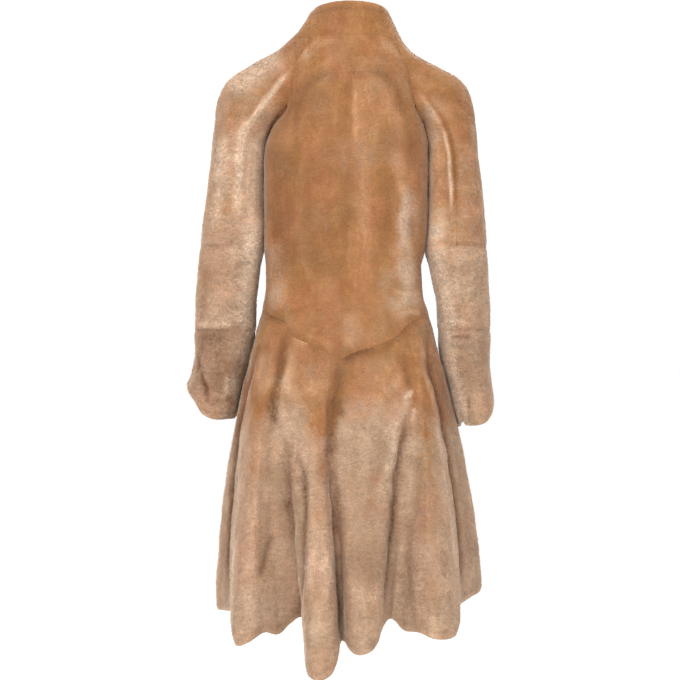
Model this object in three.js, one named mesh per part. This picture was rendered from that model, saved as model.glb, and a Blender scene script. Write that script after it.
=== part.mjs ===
import * as THREE from "three";

// Shearling coat with a funnel collar, raglan sleeves and a fluted skirt, filled out as if worn.
// Millimetres, +Z up. The back faces -Y, the wearer's right is +X, and the origin lies at the
// neck base between the shoulders. Every piece is a wall: its outer face is where the pile ends.

const wallThickness = 7.5; // hide and dense pile together
const seamInset = 0.17; // each piece stops this short of its seam line
const grooveInset = 0.12; // and sinks this much, which parts the pieces in a tight groove
const longestMitre = 1.35; // limit on the wall's slant at a folded seam
const leastAgreement = 0.1; // of the faces that meet at a seam, before that limit
const leanFrom = 1.5; // how early the wall leans to the armhole's hollow
const sharpestCorner = 0.33; // cosine limit on a seam inset's own mitre

const neckSeamZ = 32;
const seamForkZ = -12; // the under sleeve starts here on the raglan seam
const archTopZ = -31; // top of the arched back panels
const underarmZ = -178;
const waistGuideZ = -450; // height at which the panels' waist widths are set
const upperJoinZ = -311; // joins between lengths of pelt on the sleeves
const lowerJoinZ = -450;

const torsoRoundness = 0.85; // 1 is an ellipse, less is squarer
const skirtCentre = new THREE.Vector2(0, -10);
const skirtRadii = new THREE.Vector2(219, 186);
const hipCurve = { left: 1.85, right: 1.6 }; // how early each side of the skirt flares
const foldGrowth = 1.2; // how late its folds deepen
const swayPeak = 0.6; // how high up they stray most

const collarTop = { x: 5, y: -6, halfWidth: 70.5, halfDepth: 70, z: 77, backRise: 12 };
const collarSpread = 1.5; // how late the collar widens towards the neck seam
const neckSize = { halfWidth: 97, halfDepth: 72 };

const centrePanelColumns = 6;
const sidePanelColumns = 5;
const outerSleeveColumns = 8;
const bodiceRows = 8;
const skirtRows = 12;
const cuffRows = 5;
const collarRows = 4;
const upperBodiceHeights = [neckSeamZ, 16, 2, seamForkZ, archTopZ, -37, -50, -74, -108, -143, underarmZ];
const armholeHeights = upperBodiceHeights.filter((z) => z <= seamForkZ);
const upperSleeveHeights = [seamForkZ, -45, -80, -115, -150, -185, -225, -268, upperJoinZ];
const middleSleeveHeights = [upperJoinZ, -358, -404, lowerJoinZ];

const pileColour = { body: 0xbe845a, sleeve: 0xc9a27c, skirt: 0xc69d78 };

function table(columns, rows) {
  return rows.map((row) => Object.fromEntries(columns.map((name, i) => [name, row[i]])));
}

const depths = table(
  ["z", "back", "front"],
  [
    [32, 80, 62],
    [16, 86, 71],
    [2, 91, 79],
    [-12, 96, 86],
    [-35, 104, 97],
    [-70, 113, 110],
    [-118, 120, 123],
    [-178, 118, 133],
    [-232, 112, 136],
    [-274, 105, 127],
    [-314, 96, 114],
    [-349, 91, 105],
    [-383, 91, 103],
    [-422, 97, 106],
    [-460, 104, 111],
    [-500, 112, 117],
  ],
);

const sides = table(
  ["z", "left", "right"],
  [
    [-178, -137.8, 134.2],
    [-232, -137.8, 134],
    [-274, -136.6, 132.8],
    [-314, -138.2, 130.2],
    [-349, -136.6, 125],
    [-383, -138, 127],
    [-422, -144, 136.5],
    [-460, -153, 147],
    [-500, -162, 156],
  ],
);

// Above the underarm the inner edge is the raglan seam, and the gap is the angle that the
// torso takes out of the sleeve's oval on each side of its inner point.
const sleeves = table(
  ["z", "innerLeft", "outerLeft", "innerRight", "outerRight", "centre", "reach", "gap"],
  [
    [32, 64.5, 100, 72, 95, -4, 56, 108],
    [16, 69, 120, 80, 107, -2, 60, 106],
    [2, 77.5, 146.5, 89, 129, 0, 63, 103],
    [-12, 85.6, 171, 96.5, 159, 2, 66, 99],
    [-22, 87.8, 187, 99, 179, 3, 68, 95],
    [-35, 90.5, 203.5, 102, 195, 4, 70, 89],
    [-50, 93.8, 213, 105.5, 206, 4, 71, 82],
    [-74, 98, 219.5, 111.3, 212, 4, 71, 67],
    [-92, 105, 222, 118, 215, 3, 70, 55],
    [-108, 118, 223.5, 124, 216.5, 2, 69, 43],
    [-143, 135, 226.5, 134, 219.5, 1, 67, 21],
    [-178, 137.8, 230, 134.2, 223, 0, 66, 0],
    [-190, 139.4, 231.5, 135.8, 224.5, 0, 66, 0],
    [-232, 139.8, 237, 136, 229.5, 0, 65, 0],
    [-274, 138.8, 243, 135, 232.5, -1, 63, 0],
    [-314, 140.2, 247, 132.4, 235.5, 0, 61, 0],
    [-349, 145.5, 251, 138, 237.5, 3, 59, 0],
    [-400, 152.5, 255, 150, 240.5, 8, 57, 0],
    [-450, 156, 257.5, 155.2, 241.5, 14, 56, 0],
    [-485, 163.5, 257, 160, 242, 19, 57, 0],
    [-520, 172, 263, 168, 243, 23, 59, 0],
    [-548, 180.5, 274, 176, 247, 26, 62, 0],
    [-576, 186.5, 273, 183, 251, 28, 65, 0],
    [-620, 196, 274, 194, 253, 30, 68, 0],
  ],
);

const sleeveSeams = table(
  ["z", "angle"],
  [
    [-12, 99],
    [-35, 97.5],
    [-50, 95],
    [-74, 90],
    [-108, 84],
    [-148, 81],
    [-178, 83],
    [-232, 84],
    [-314, 85],
    [-400, 79],
    [-485, 76],
    [-620, 73],
  ],
);

const cuffHems = table(
  ["angle", "left", "right"],
  [
    [0, -604, -611],
    [70, -603, -611],
    [105, -601, -607],
    [135, -575, -597],
    [160, -556, -584],
    [180, -546, -575],
    [215, -551, -580],
    [250, -566, -590],
    [290, -588, -602],
    [360, -604, -611],
  ],
);
const vent = { rise: 7, halfAngle: 4 };

const backSeams = table(
  ["z", "left", "centre", "right"],
  [
    [32, -48, 7.8, 60],
    [-31, 7.4, 7.4, 7.4],
    [-33, -16, 7.3, 38],
    [-37, -38, 7.2, 56],
    [-50, -63, 7, 72],
    [-74, -77.5, 6.6, 87],
    [-108, -83, 6, 96],
    [-143, -85, 5.4, 104],
    [-178, -86.5, 5, 107],
    [-256, -89.5, 3.5, 101],
    [-336, -92.8, 0, 95],
    [-400, -94, -4, 92],
    [-500, -94, -12, 91],
  ],
);

const frontSeams = table(
  ["z", "left", "centre", "right"],
  [
    [32, -34, 1, 37],
    [-50, -62, 0, 64],
    [-178, -78, 0, 78],
    [-349, -72, 0, 70],
    [-500, -84, 0, 82],
  ],
);

const backWaist = table(
  ["x", "z"],
  [
    [-143, -420],
    [-126, -427],
    [-100, -438],
    [-90, -460],
    [-46, -478],
    [-20, -490],
    [-9, -498],
    [10, -488],
    [50, -475],
    [80, -461],
    [99, -441],
    [123, -431],
    [134, -430],
  ],
);
const frontWaist = table(
  ["x", "z"],
  [
    [-143, -420],
    [-70, -432],
    [0, -440],
    [70, -436],
    [140, -430],
  ],
);

// One row for each crest, flank and valley of the hem, counter-clockwise from the centre back.
// Sway is how far the fold strays sideways on its way down. A named row is also a seam.
const hemFolds = table(
  ["x", "y", "z", "sway", "seam"],
  [
    [-9, -172, -942, -13, "centreBack"],
    [1, -204, -952, -6, ""],
    [20, -224, -955, 2, ""],
    [44, -213, -947, 8, ""],
    [58, -180, -923, 14, ""],
    [70, -150, -911, 18, ""],
    [86, -160, -927, 20, "backRight"],
    [109, -188, -926, 14, ""],
    [136, -206, -933, 6, ""],
    [165, -191, -934, 2, ""],
    [180, -152, -926, 0, ""],
    [184, -106, -899, 0, ""],
    [208, -52, -891, 0, ""],
    [227, -8, -886, 0, "sideRight"],
    [216, 46, -886, 0, ""],
    [180, 88, -892, 0, ""],
    [163, 134, -902, 0, ""],
    [137, 160, -906, 0, ""],
    [106, 148, -900, 6, "frontRight"],
    [80, 138, -894, 6, ""],
    [56, 172, -902, 3, ""],
    [28, 180, -905, 0, ""],
    [1, 160, -898, 0, "centreFront"],
    [-27, 178, -904, 0, ""],
    [-54, 168, -900, -3, ""],
    [-79, 135, -893, -6, ""],
    [-104, 146, -900, -6, "frontLeft"],
    [-134, 160, -907, 0, ""],
    [-160, 132, -903, 0, ""],
    [-177, 86, -896, 0, ""],
    [-206, 42, -902, 0, ""],
    [-220, -14, -915, 0, "sideLeft"],
    [-204, -60, -912, 0, ""],
    [-188, -112, -908, -2, ""],
    [-187, -158, -928, -4, ""],
    [-176, -194, -945, -6, ""],
    [-152, -198, -939, -10, ""],
    [-128, -176, -928, -16, ""],
    [-107, -158, -934, -20, "backLeft"],
    [-88, -146, -918, -20, ""],
    [-72, -150, -914, -18, ""],
    [-67, -190, -964, -16, ""],
    [-61, -222, -992, -14, ""],
    [-43, -237, -997, -12, ""],
    [-23, -224, -987, -12, ""],
    [-12, -200, -968, -13, ""],
  ],
);

// Smooth curve through one column of a table, with no overshoot between its rows.
function read(rows, key, column, at) {
  const rising = rows[0][key] < rows[1][key];
  const list = rising ? rows : [...rows].reverse();
  const last = list.length - 1;
  if (at <= list[0][key]) return list[0][column];
  if (at >= list[last][key]) return list[last][column];
  const slope = (i) => (list[i + 1][column] - list[i][column]) / (list[i + 1][key] - list[i][key]);
  const tangent = (i) => {
    if (i === 0) return slope(0);
    if (i === last) return slope(last - 1);
    const product = slope(i - 1) * slope(i);
    return product <= 0 ? 0 : (2 * product) / (slope(i - 1) + slope(i));
  };
  const i = list.findIndex((row, k) => k < last && at < list[k + 1][key]);
  const span = list[i + 1][key] - list[i][key];
  const t = (at - list[i][key]) / span;
  const rise = list[i + 1][column] - list[i][column];
  const start = tangent(i) * span;
  const end = tangent(i + 1) * span;
  return list[i][column] + t * (start + t * (3 * rise - 2 * start - end + t * (start + end - 2 * rise)));
}

const mix = (a, b, t) => a + (b - a) * t;
const steps = (count) => Array.from({ length: count + 1 }, (unused, i) => i / count);
const signedPower = (value, power) => Math.sign(value) * Math.abs(value) ** power;
const capitalised = (side) => (side < 0 ? "Left" : "Right");

// The sleeve's oval at one height: angle 0 faces the torso, 90 the back, 180 outwards.
function sleeveOval(side, z) {
  const gap = THREE.MathUtils.degToRad(read(sleeves, "z", "gap", z));
  const inner = read(sleeves, "z", `inner${capitalised(side)}`, z);
  const outer = read(sleeves, "z", `outer${capitalised(side)}`, z);
  const halfWidth = (outer - inner) / (1 + Math.cos(gap));
  return {
    gap,
    halfWidth,
    middle: outer - halfWidth,
    centre: read(sleeves, "z", "centre", z),
    reach: read(sleeves, "z", "reach", z),
  };
}

function sleevePoint(side, z, angle) {
  const oval = sleeveOval(side, z);
  const x = side * (oval.middle - oval.halfWidth * Math.cos(angle));
  return new THREE.Vector3(x, oval.centre - oval.reach * Math.sin(angle), z);
}

function sleeveSeamAngle(z) {
  if (z >= seamForkZ) return THREE.MathUtils.degToRad(read(sleeves, "z", "gap", z));
  return THREE.MathUtils.degToRad(read(sleeveSeams, "z", "angle", z));
}

// The torso's section at one height, on its back (face -1) or its front (face 1). Above the
// underarm it is the part between the raglan seams.
function torsoSection(face, z) {
  const depth = read(depths, "z", face < 0 ? "back" : "front", z);
  if (z <= underarmZ) {
    const left = read(sides, "z", "left", z);
    const right = read(sides, "z", "right", z);
    return { depth, middle: (left + right) / 2, halfWidth: (right - left) / 2 };
  }
  const left = sleevePoint(-1, z, -face * sleeveOval(-1, z).gap);
  const right = sleevePoint(1, z, -face * sleeveOval(1, z).gap);
  const power = 2 / torsoRoundness;
  const narrowing = (1 - Math.abs(left.y / depth) ** power) ** (1 / power);
  return { depth, middle: (left.x + right.x) / 2, halfWidth: (right.x - left.x) / 2 / narrowing };
}

function torsoPoint(face, z, turn) {
  const section = torsoSection(face, z);
  const x = section.middle + section.halfWidth * signedPower(Math.sin(turn), torsoRoundness);
  const y = face * section.depth * signedPower(Math.cos(turn), torsoRoundness);
  return new THREE.Vector3(x, y, z);
}

function turnAt(face, z, x) {
  const section = torsoSection(face, z);
  const share = THREE.MathUtils.clamp((x - section.middle) / section.halfWidth, -1, 1);
  return Math.asin(signedPower(share, 1 / torsoRoundness));
}

// Seams of the bodice: each gives its turn round the torso at a height.
function sideSeam(face, side) {
  return (z) => {
    if (z <= underarmZ) return (side * Math.PI) / 2;
    return turnAt(face, z, sleevePoint(side, z, -face * sleeveOval(side, z).gap).x);
  };
}

function backSeam(name) {
  return (z) => turnAt(-1, z, read(backSeams, "z", z >= archTopZ ? "centre" : name, z));
}

function frontSeam(name) {
  return (z) => turnAt(1, z, read(frontSeams, "z", name, z));
}

// Rows of points from the top of a bodice panel to the waist seam, counter-clockwise in a row.
function bodicePanel(face, from, to, columns, topZ) {
  const across = steps(columns);
  const rows = upperBodiceHeights
    .filter((z) => z <= topZ)
    .map((z) => across.map((u) => torsoPoint(face, z, mix(from(z), to(z), u))));
  const waist = face < 0 ? backWaist : frontWaist;
  for (const v of steps(bodiceRows).slice(1)) {
    rows.push(
      across.map((u) => {
        const guide = torsoPoint(face, waistGuideZ, mix(from(waistGuideZ), to(waistGuideZ), u));
        const z = mix(underarmZ, read(waist, "x", "z", guide.x), v);
        return torsoPoint(face, z, mix(from(z), to(z), u));
      }),
    );
  }
  return rows;
}

const hemLoop = ["x", "y", "z", "sway"];

// Catmull-Rom curve through the hem folds, at a place counted in rows of their table.
function hemAt(place) {
  const count = hemFolds.length;
  const i = Math.floor(place);
  const t = place - i;
  const rows = [-1, 0, 1, 2].map((k) => hemFolds[(i + k + count) % count]);
  const curve = (name) => {
    const [a, b, c, d] = rows.map((row) => row[name]);
    return b + 0.5 * t * (c - a + t * (2 * a - 5 * b + 4 * c - d + t * (3 * (b - c) + d - a)));
  };
  return Object.fromEntries(hemLoop.map((name) => [name, curve(name)]));
}

function skirtGore(waistRow, fromSeam, toSeam) {
  const columns = 2 * (waistRow.length - 1);
  const start = hemFolds.findIndex((row) => row.seam === fromSeam);
  let end = hemFolds.findIndex((row) => row.seam === toSeam);
  if (end < start) end += hemFolds.length;
  return steps(skirtRows).map((v) =>
    steps(columns).map((u, j) => {
      const whole = Math.floor(j / 2);
      const top = waistRow[whole].clone();
      if (j % 2) top.lerp(waistRow[whole + 1], 0.5);
      const hem = hemAt(mix(start, end, u));
      const turn = Math.atan2(
        (hem.y - skirtCentre.y) / skirtRadii.y,
        (hem.x - skirtCentre.x) / skirtRadii.x,
      );
      const curve = mix(hipCurve.left, hipCurve.right, (1 + Math.cos(turn)) / 2);
      const flare = 1 - (1 - v) ** curve;
      const fold = v ** foldGrowth;
      const evenX = skirtCentre.x + skirtRadii.x * Math.cos(turn);
      const evenY = skirtCentre.y + skirtRadii.y * Math.sin(turn);
      const sway = hem.sway * Math.sin(Math.PI * v ** swayPeak);
      const x = mix(top.x, evenX, flare) + (hem.x - evenX) * fold + sway;
      const y = mix(top.y, evenY, flare) + (hem.y - evenY) * fold;
      return new THREE.Vector3(x, y, mix(top.z, hem.z, v));
    }),
  );
}

// Rows of a sleeve run counter-clockwise on the right and are turned round on the left.
const sleeveRows = (side, rows) => (side < 0 ? rows.map((row) => [...row].reverse()) : rows);

function outerSleeve(side, heights) {
  return sleeveRows(
    side,
    heights.map((z) => {
      const seam = sleeveSeamAngle(z);
      return steps(outerSleeveColumns).map((u) => sleevePoint(side, z, mix(seam, 2 * Math.PI - seam, u)));
    }),
  );
}

// The under sleeve's top edge follows the armhole from the front fork to the underarm and up the back.
const underColumns = 2 * (armholeHeights.length - 1);

function underSleeve(side) {
  const middle = armholeHeights.length - 1;
  const heights = [...upperSleeveHeights, ...middleSleeveHeights.slice(1)];
  return sleeveRows(
    side,
    heights.map((height) => {
      const v = (seamForkZ - height) / (seamForkZ - lowerJoinZ);
      return steps(underColumns).map((unused, j) => {
        const step = Math.abs(j - middle);
        const topZ = armholeHeights[middle - step];
        const topShare = sleeveOval(side, topZ).gap / sleeveSeamAngle(topZ);
        const z = mix(topZ, lowerJoinZ, v);
        const share = mix(topShare, step / middle, v);
        return sleevePoint(side, z, Math.sign(j - middle) * share * sleeveSeamAngle(z));
      });
    }),
  );
}

function cuffPart(side, columns, fromShare, toShare) {
  const seamAt = sleeveSeamAngle(lowerJoinZ);
  const column = side < 0 ? "left" : "right";
  return sleeveRows(
    side,
    steps(cuffRows).map((v) =>
      steps(columns).map((u) => {
        const hemAngle = mix(fromShare(seamAt), toShare(seamAt), u);
        const degrees = THREE.MathUtils.euclideanModulo(THREE.MathUtils.radToDeg(hemAngle), 360);
        const offSeam = Math.abs(degrees - THREE.MathUtils.radToDeg(seamAt));
        const notch = vent.rise * Math.max(0, 1 - offSeam / vent.halfAngle);
        const z = mix(lowerJoinZ, read(cuffHems, "angle", column, degrees) + notch, v);
        const seam = sleeveSeamAngle(z);
        return sleevePoint(side, z, mix(fromShare(seam), toShare(seam), u));
      }),
    ),
  );
}

function collarHalf(neckRow) {
  return steps(collarRows).map((v) =>
    neckRow.map((neck) => {
      const turn = Math.atan2(
        (neck.y - collarTop.y) / neckSize.halfDepth,
        (neck.x - collarTop.x) / neckSize.halfWidth,
      );
      const spread = v ** collarSpread;
      const topX = collarTop.x + collarTop.halfWidth * Math.cos(turn);
      const topY = collarTop.y + collarTop.halfDepth * Math.sin(turn);
      const topZ = collarTop.z - collarTop.backRise * Math.sin(turn);
      return new THREE.Vector3(mix(topX, neck.x, spread), mix(topY, neck.y, spread), mix(topZ, neck.z, v));
    }),
  );
}

// Every piece as rows of outer points. Neighbours share the points of their common seam.
const right = 1;
const left = -1;
const back = -1;
const front = 1;
const pieces = new Map();
const addPiece = (name, colour, rows) => pieces.set(name, { colour, rows });

const bodiceSeams = {
  back_side_left: [back, sideSeam(back, left), backSeam("left"), sidePanelColumns, neckSeamZ],
  back_centre_left: [back, backSeam("left"), backSeam("centre"), centrePanelColumns, archTopZ],
  back_centre_right: [back, backSeam("centre"), backSeam("right"), centrePanelColumns, archTopZ],
  back_side_right: [back, backSeam("right"), sideSeam(back, right), sidePanelColumns, neckSeamZ],
  front_side_right: [front, sideSeam(front, right), frontSeam("right"), sidePanelColumns, neckSeamZ],
  front_right: [front, frontSeam("right"), frontSeam("centre"), centrePanelColumns, neckSeamZ],
  front_left: [front, frontSeam("centre"), frontSeam("left"), centrePanelColumns, neckSeamZ],
  front_side_left: [front, frontSeam("left"), sideSeam(front, left), sidePanelColumns, neckSeamZ],
};
const bodice = {};
for (const [name, panel] of Object.entries(bodiceSeams)) {
  bodice[name] = bodicePanel(...panel);
  addPiece(name, pileColour.body, bodice[name]);
}

const gores = [
  ["skirt_side_back_left", bodice.back_side_left, "sideLeft", "backLeft"],
  ["skirt_back_left", bodice.back_centre_left, "backLeft", "centreBack"],
  ["skirt_back_right", bodice.back_centre_right, "centreBack", "backRight"],
  ["skirt_side_back_right", bodice.back_side_right, "backRight", "sideRight"],
  ["skirt_side_front_right", bodice.front_side_right, "sideRight", "frontRight"],
  ["skirt_front_right", bodice.front_right, "frontRight", "centreFront"],
  ["skirt_front_left", bodice.front_left, "centreFront", "frontLeft"],
  ["skirt_side_front_left", bodice.front_side_left, "frontLeft", "sideLeft"],
];
for (const [name, panel, fromSeam, toSeam] of gores) {
  addPiece(name, pileColour.skirt, skirtGore(panel[panel.length - 1], fromSeam, toSeam));
}

const shoulderHeights = upperBodiceHeights.filter((z) => z > seamForkZ);
const sleeveTops = {};
for (const [name, side] of [["left", left], ["right", right]]) {
  const top = outerSleeve(side, [...shoulderHeights, ...upperSleeveHeights]);
  sleeveTops[name] = top[0];
  addPiece(`sleeve_outer_${name}`, pileColour.sleeve, top);
  addPiece(`sleeve_outer_middle_${name}`, pileColour.sleeve, outerSleeve(side, middleSleeveHeights));
  addPiece(`sleeve_under_${name}`, pileColour.sleeve, underSleeve(side));
  const outerCuff = cuffPart(side, outerSleeveColumns, (seam) => seam, (seam) => 2 * Math.PI - seam);
  const underCuff = cuffPart(side, underColumns, (seam) => -seam, (seam) => seam);
  addPiece(`cuff_outer_${name}`, pileColour.sleeve, outerCuff);
  addPiece(`cuff_under_${name}`, pileColour.sleeve, underCuff);
}

const joined = (...rows) => rows.flatMap((row, i) => (i ? row.slice(1) : row));
const rightNeck = joined(
  bodice.back_side_right[0],
  sleeveTops.right,
  bodice.front_side_right[0],
  bodice.front_right[0],
);
const leftNeck = joined(
  bodice.front_left[0],
  bodice.front_side_left[0],
  sleeveTops.left,
  bodice.back_side_left[0],
);
addPiece("collar_right", pileColour.body, collarHalf(rightNeck));
addPiece("collar_left", pileColour.body, collarHalf(leftNeck));

// Each piece's outer face as merged points and triangles, so a row that closes to a point is allowed.
const pointKey = (point) => point.toArray().map((value) => Math.round(value * 10)).join(",");

function outerFace(rows) {
  const points = [];
  const indexOf = new Map();
  const place = (point) => {
    const key = pointKey(point);
    if (!indexOf.has(key)) {
      indexOf.set(key, points.length);
      points.push(point);
    }
    return indexOf.get(key);
  };
  const grid = rows.map((row) => row.map(place));
  const triangles = [];
  const add = (a, b, c) => {
    if (a !== b && b !== c && c !== a) triangles.push([a, b, c]);
  };
  for (let r = 0; r + 1 < grid.length; r++) {
    for (let c = 0; c + 1 < grid[r].length; c++) {
      const quad = [grid[r][c], grid[r + 1][c], grid[r + 1][c + 1], grid[r][c + 1]];
      const diagonals = [0, 1].map((k) => points[quad[k]].distanceTo(points[quad[k + 2]]));
      const k = diagonals[1] < diagonals[0] ? 1 : 0; // a leaning quad is cut along its shorter diagonal
      add(quad[k], quad[k + 1], quad[k + 2]);
      add(quad[k], quad[k + 2], quad[(k + 3) % 4]);
    }
  }
  return { points, triangles };
}

function triangleNormal(points, [a, b, c]) {
  const edge = points[b].clone().sub(points[a]);
  return edge.cross(points[c].clone().sub(points[a]));
}

const sharedNormals = new Map();
for (const piece of pieces.values()) {
  piece.face = outerFace(piece.rows);
  const own = piece.face.points.map(() => new THREE.Vector3());
  for (const triangle of piece.face.triangles) {
    const normal = triangleNormal(piece.face.points, triangle);
    for (const index of triangle) own[index].add(normal);
  }
  piece.normals = own.map((normal) => normal.normalize());
  piece.face.points.forEach((point, i) => {
    const key = pointKey(point);
    if (!sharedNormals.has(key)) sharedNormals.set(key, { sum: new THREE.Vector3(), count: 0 });
    const shared = sharedNormals.get(key);
    shared.sum.add(piece.normals[i]);
    shared.count += 1;
  });
}

// Where two pieces fold back on each other at the armhole, the wall leans to the arm's own hollow.
const armholeMiddle = new THREE.Vector3(135, 0, -85);

function inwards(point) {
  const { sum, count } = sharedNormals.get(pointKey(point));
  const agreement = sum.length() / count;
  const hollow = armholeMiddle.clone();
  hollow.x *= Math.sign(point.x);
  const towardsHollow = hollow.sub(point).normalize();
  const lean = THREE.MathUtils.clamp(1 - leanFrom * agreement, 0, 1);
  const direction = sum.clone().normalize().negate().lerp(towardsHollow, lean);
  const length = wallThickness * Math.min(longestMitre, 1 / Math.max(agreement, leastAgreement));
  return direction.normalize().multiplyScalar(length);
}

// Both pieces at a seam cut their edge faces along the same diagonal, from the higher outer point.
function isHigher(a, b) {
  const [first, second] = [a, b].map((point) => point.toArray().map((value) => Math.round(value * 10)));
  return [2, 0, 1].map((k) => first[k] - second[k]).find((difference) => difference !== 0) > 0;
}

function wallGeometry({ face, normals }) {
  const { points, triangles } = face;
  const edges = new Map();
  for (const triangle of triangles) {
    for (let k = 0; k < 3; k++) {
      const a = triangle[k];
      const b = triangle[(k + 1) % 3];
      if (edges.has(`${b},${a}`)) edges.delete(`${b},${a}`);
      else edges.set(`${a},${b}`, { a, b, normal: triangleNormal(points, triangle).normalize() });
    }
  }
  const insets = points.map(() => []);
  for (const { a, b, normal } of edges.values()) {
    const into = normal.clone().cross(points[b].clone().sub(points[a])).normalize();
    insets[a].push(into);
    insets[b].push(into);
  }
  const outer = [];
  const inner = [];
  points.forEach((point, i) => {
    const shift = new THREE.Vector3();
    if (insets[i].length) {
      const sum = insets[i].reduce((total, into) => total.add(into), new THREE.Vector3());
      const unit = sum.clone().normalize();
      const mitre = 1 / Math.max(sharpestCorner, unit.dot(insets[i][0]));
      shift.addScaledVector(unit, seamInset * mitre);
      shift.addScaledVector(normals[i], -grooveInset);
    }
    const surface = point.clone().add(shift);
    outer.push(surface);
    inner.push(surface.clone().add(inwards(point)));
  });
  const count = points.length;
  const indices = [];
  for (const [a, b, c] of triangles) {
    indices.push(a, b, c);
    indices.push(a + count, c + count, b + count);
  }
  for (const { a, b } of edges.values()) {
    if (isHigher(points[a], points[b])) {
      indices.push(b, a, b + count);
      indices.push(a, a + count, b + count);
    } else {
      indices.push(b, a, a + count);
      indices.push(b, a + count, b + count);
    }
  }
  const geometry = new THREE.BufferGeometry();
  const flat = [...outer, ...inner].flatMap((point) => point.toArray());
  geometry.setAttribute("position", new THREE.Float32BufferAttribute(flat, 3));
  geometry.setIndex(indices);
  geometry.computeVertexNormals();
  return geometry;
}

const coat = new THREE.Group();
coat.name = "shearling_coat";
for (const [name, piece] of pieces) {
  const pile = new THREE.MeshStandardMaterial({ color: piece.colour, roughness: 0.95, metalness: 0 });
  const mesh = new THREE.Mesh(wallGeometry(piece), pile);
  mesh.name = name;
  coat.add(mesh);
}

export default coat;
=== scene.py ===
import math
import bpy
import numpy as np
from mathutils.kdtree import KDTree
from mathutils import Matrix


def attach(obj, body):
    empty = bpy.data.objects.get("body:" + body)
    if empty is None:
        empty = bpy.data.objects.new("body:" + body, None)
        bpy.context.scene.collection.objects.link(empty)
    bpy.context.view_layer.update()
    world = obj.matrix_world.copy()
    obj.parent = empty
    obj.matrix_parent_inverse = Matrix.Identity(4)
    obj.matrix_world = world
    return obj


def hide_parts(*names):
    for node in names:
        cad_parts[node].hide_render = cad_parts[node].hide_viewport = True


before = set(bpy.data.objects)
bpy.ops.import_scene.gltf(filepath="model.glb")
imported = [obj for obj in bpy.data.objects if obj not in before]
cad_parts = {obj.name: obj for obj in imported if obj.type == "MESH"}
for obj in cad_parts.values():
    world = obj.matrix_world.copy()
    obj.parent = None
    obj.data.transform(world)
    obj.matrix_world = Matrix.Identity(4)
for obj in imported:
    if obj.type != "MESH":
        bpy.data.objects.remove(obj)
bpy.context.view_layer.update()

mm = 0.001               # every length below is in millimetres and becomes metres with this
farAway = 1000.0         # further than any edge
tiny = 1e-6              # steps shorter than this are none
shortest = 1e-9          # and a direction is never divided by less than this

pelt = {
    "pileDepth": 1.3,        # the hide's pile side lies this far under the solid's face
    "closeDepth": -2.0,      # and swells this far out of it where the sleeve lies against the body
    "hideDepth": 6.6,        # and its suede side this far
    "followDepth": 3.2,      # it follows creases that sink more than this
    "cell": 5.4,             # size of a mesh cell on the coat
    "waviness": 0.8,         # soft unevenness of the sheared pile
    "wavinessSize": 46,
    "tuftiness": 0.22,       # small clumps
    "tuftSize": 13,
    "nubs": 0.3,             # curls that show where the pile is beige
    "nubSize": 9,
    "innerPaintedLight": 0.85,       # painted light: the pile is painted paler on the side of the sleeve that faces the body, to lift the shade that falls between them
    "innerFacing": (0.3, 0.85),   # how squarely it faces the body where that starts and is full
    "innerDrop": (110, 170),      # and how far down
}

# lengths and widths in millimetres that rows and columns of cells are counted from
meshing = {
    "fewest": 6,
    "archRows": 38, "archPower": 1.7, "yokeRows": 15, "bodice": 280,
    "skirt": 500,
    "sleeve": 215, "shoulderShare": 1.25, "shoulderPower": 1.35,
    "underWidth": 190, "underLength": 340,
    "cuff": 150, "cuffOuter": 245, "cuffUnder": 180,
    "collarRows": 14, "collar": 255,
}


# curves and surfaces


def curveThrough(keys, values, at):      # smooth, with no overshoot between its points
    keys, values = np.array(keys, float), np.array(values, float)
    if keys[0] > keys[-1]:
        keys, values = keys[::-1], values[::-1]
    at = np.clip(at, keys[0], keys[-1])
    span, rise = np.diff(keys), np.diff(values)
    slope = rise / span
    tangent = np.concatenate((slope[:1], np.zeros(len(keys) - 2), slope[-1:]))
    both = slope[:-1] * slope[1:] > 0
    before, after = slope[:-1][both], slope[1:][both]
    tangent[1:-1][both] = 2 * before * after / (before + after)
    i = np.clip(np.searchsorted(keys, at, side="right") - 1, 0, len(keys) - 2)
    t = (at - keys[i]) / span[i]
    start, end = tangent[i] * span[i], tangent[i + 1] * span[i]
    return values[i] + t * (start + t * (3 * rise[i] - 2 * start - end + t * (start + end - 2 * rise[i])))


def mix(a, b, t):
    return a + (b - a) * t


def unit(vectors):
    return vectors / np.maximum(np.linalg.norm(vectors, axis=-1, keepdims=True), shortest)


def signedPower(value, power):
    return np.sign(value) * np.abs(value) ** power


# the cut, in millimetres

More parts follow.
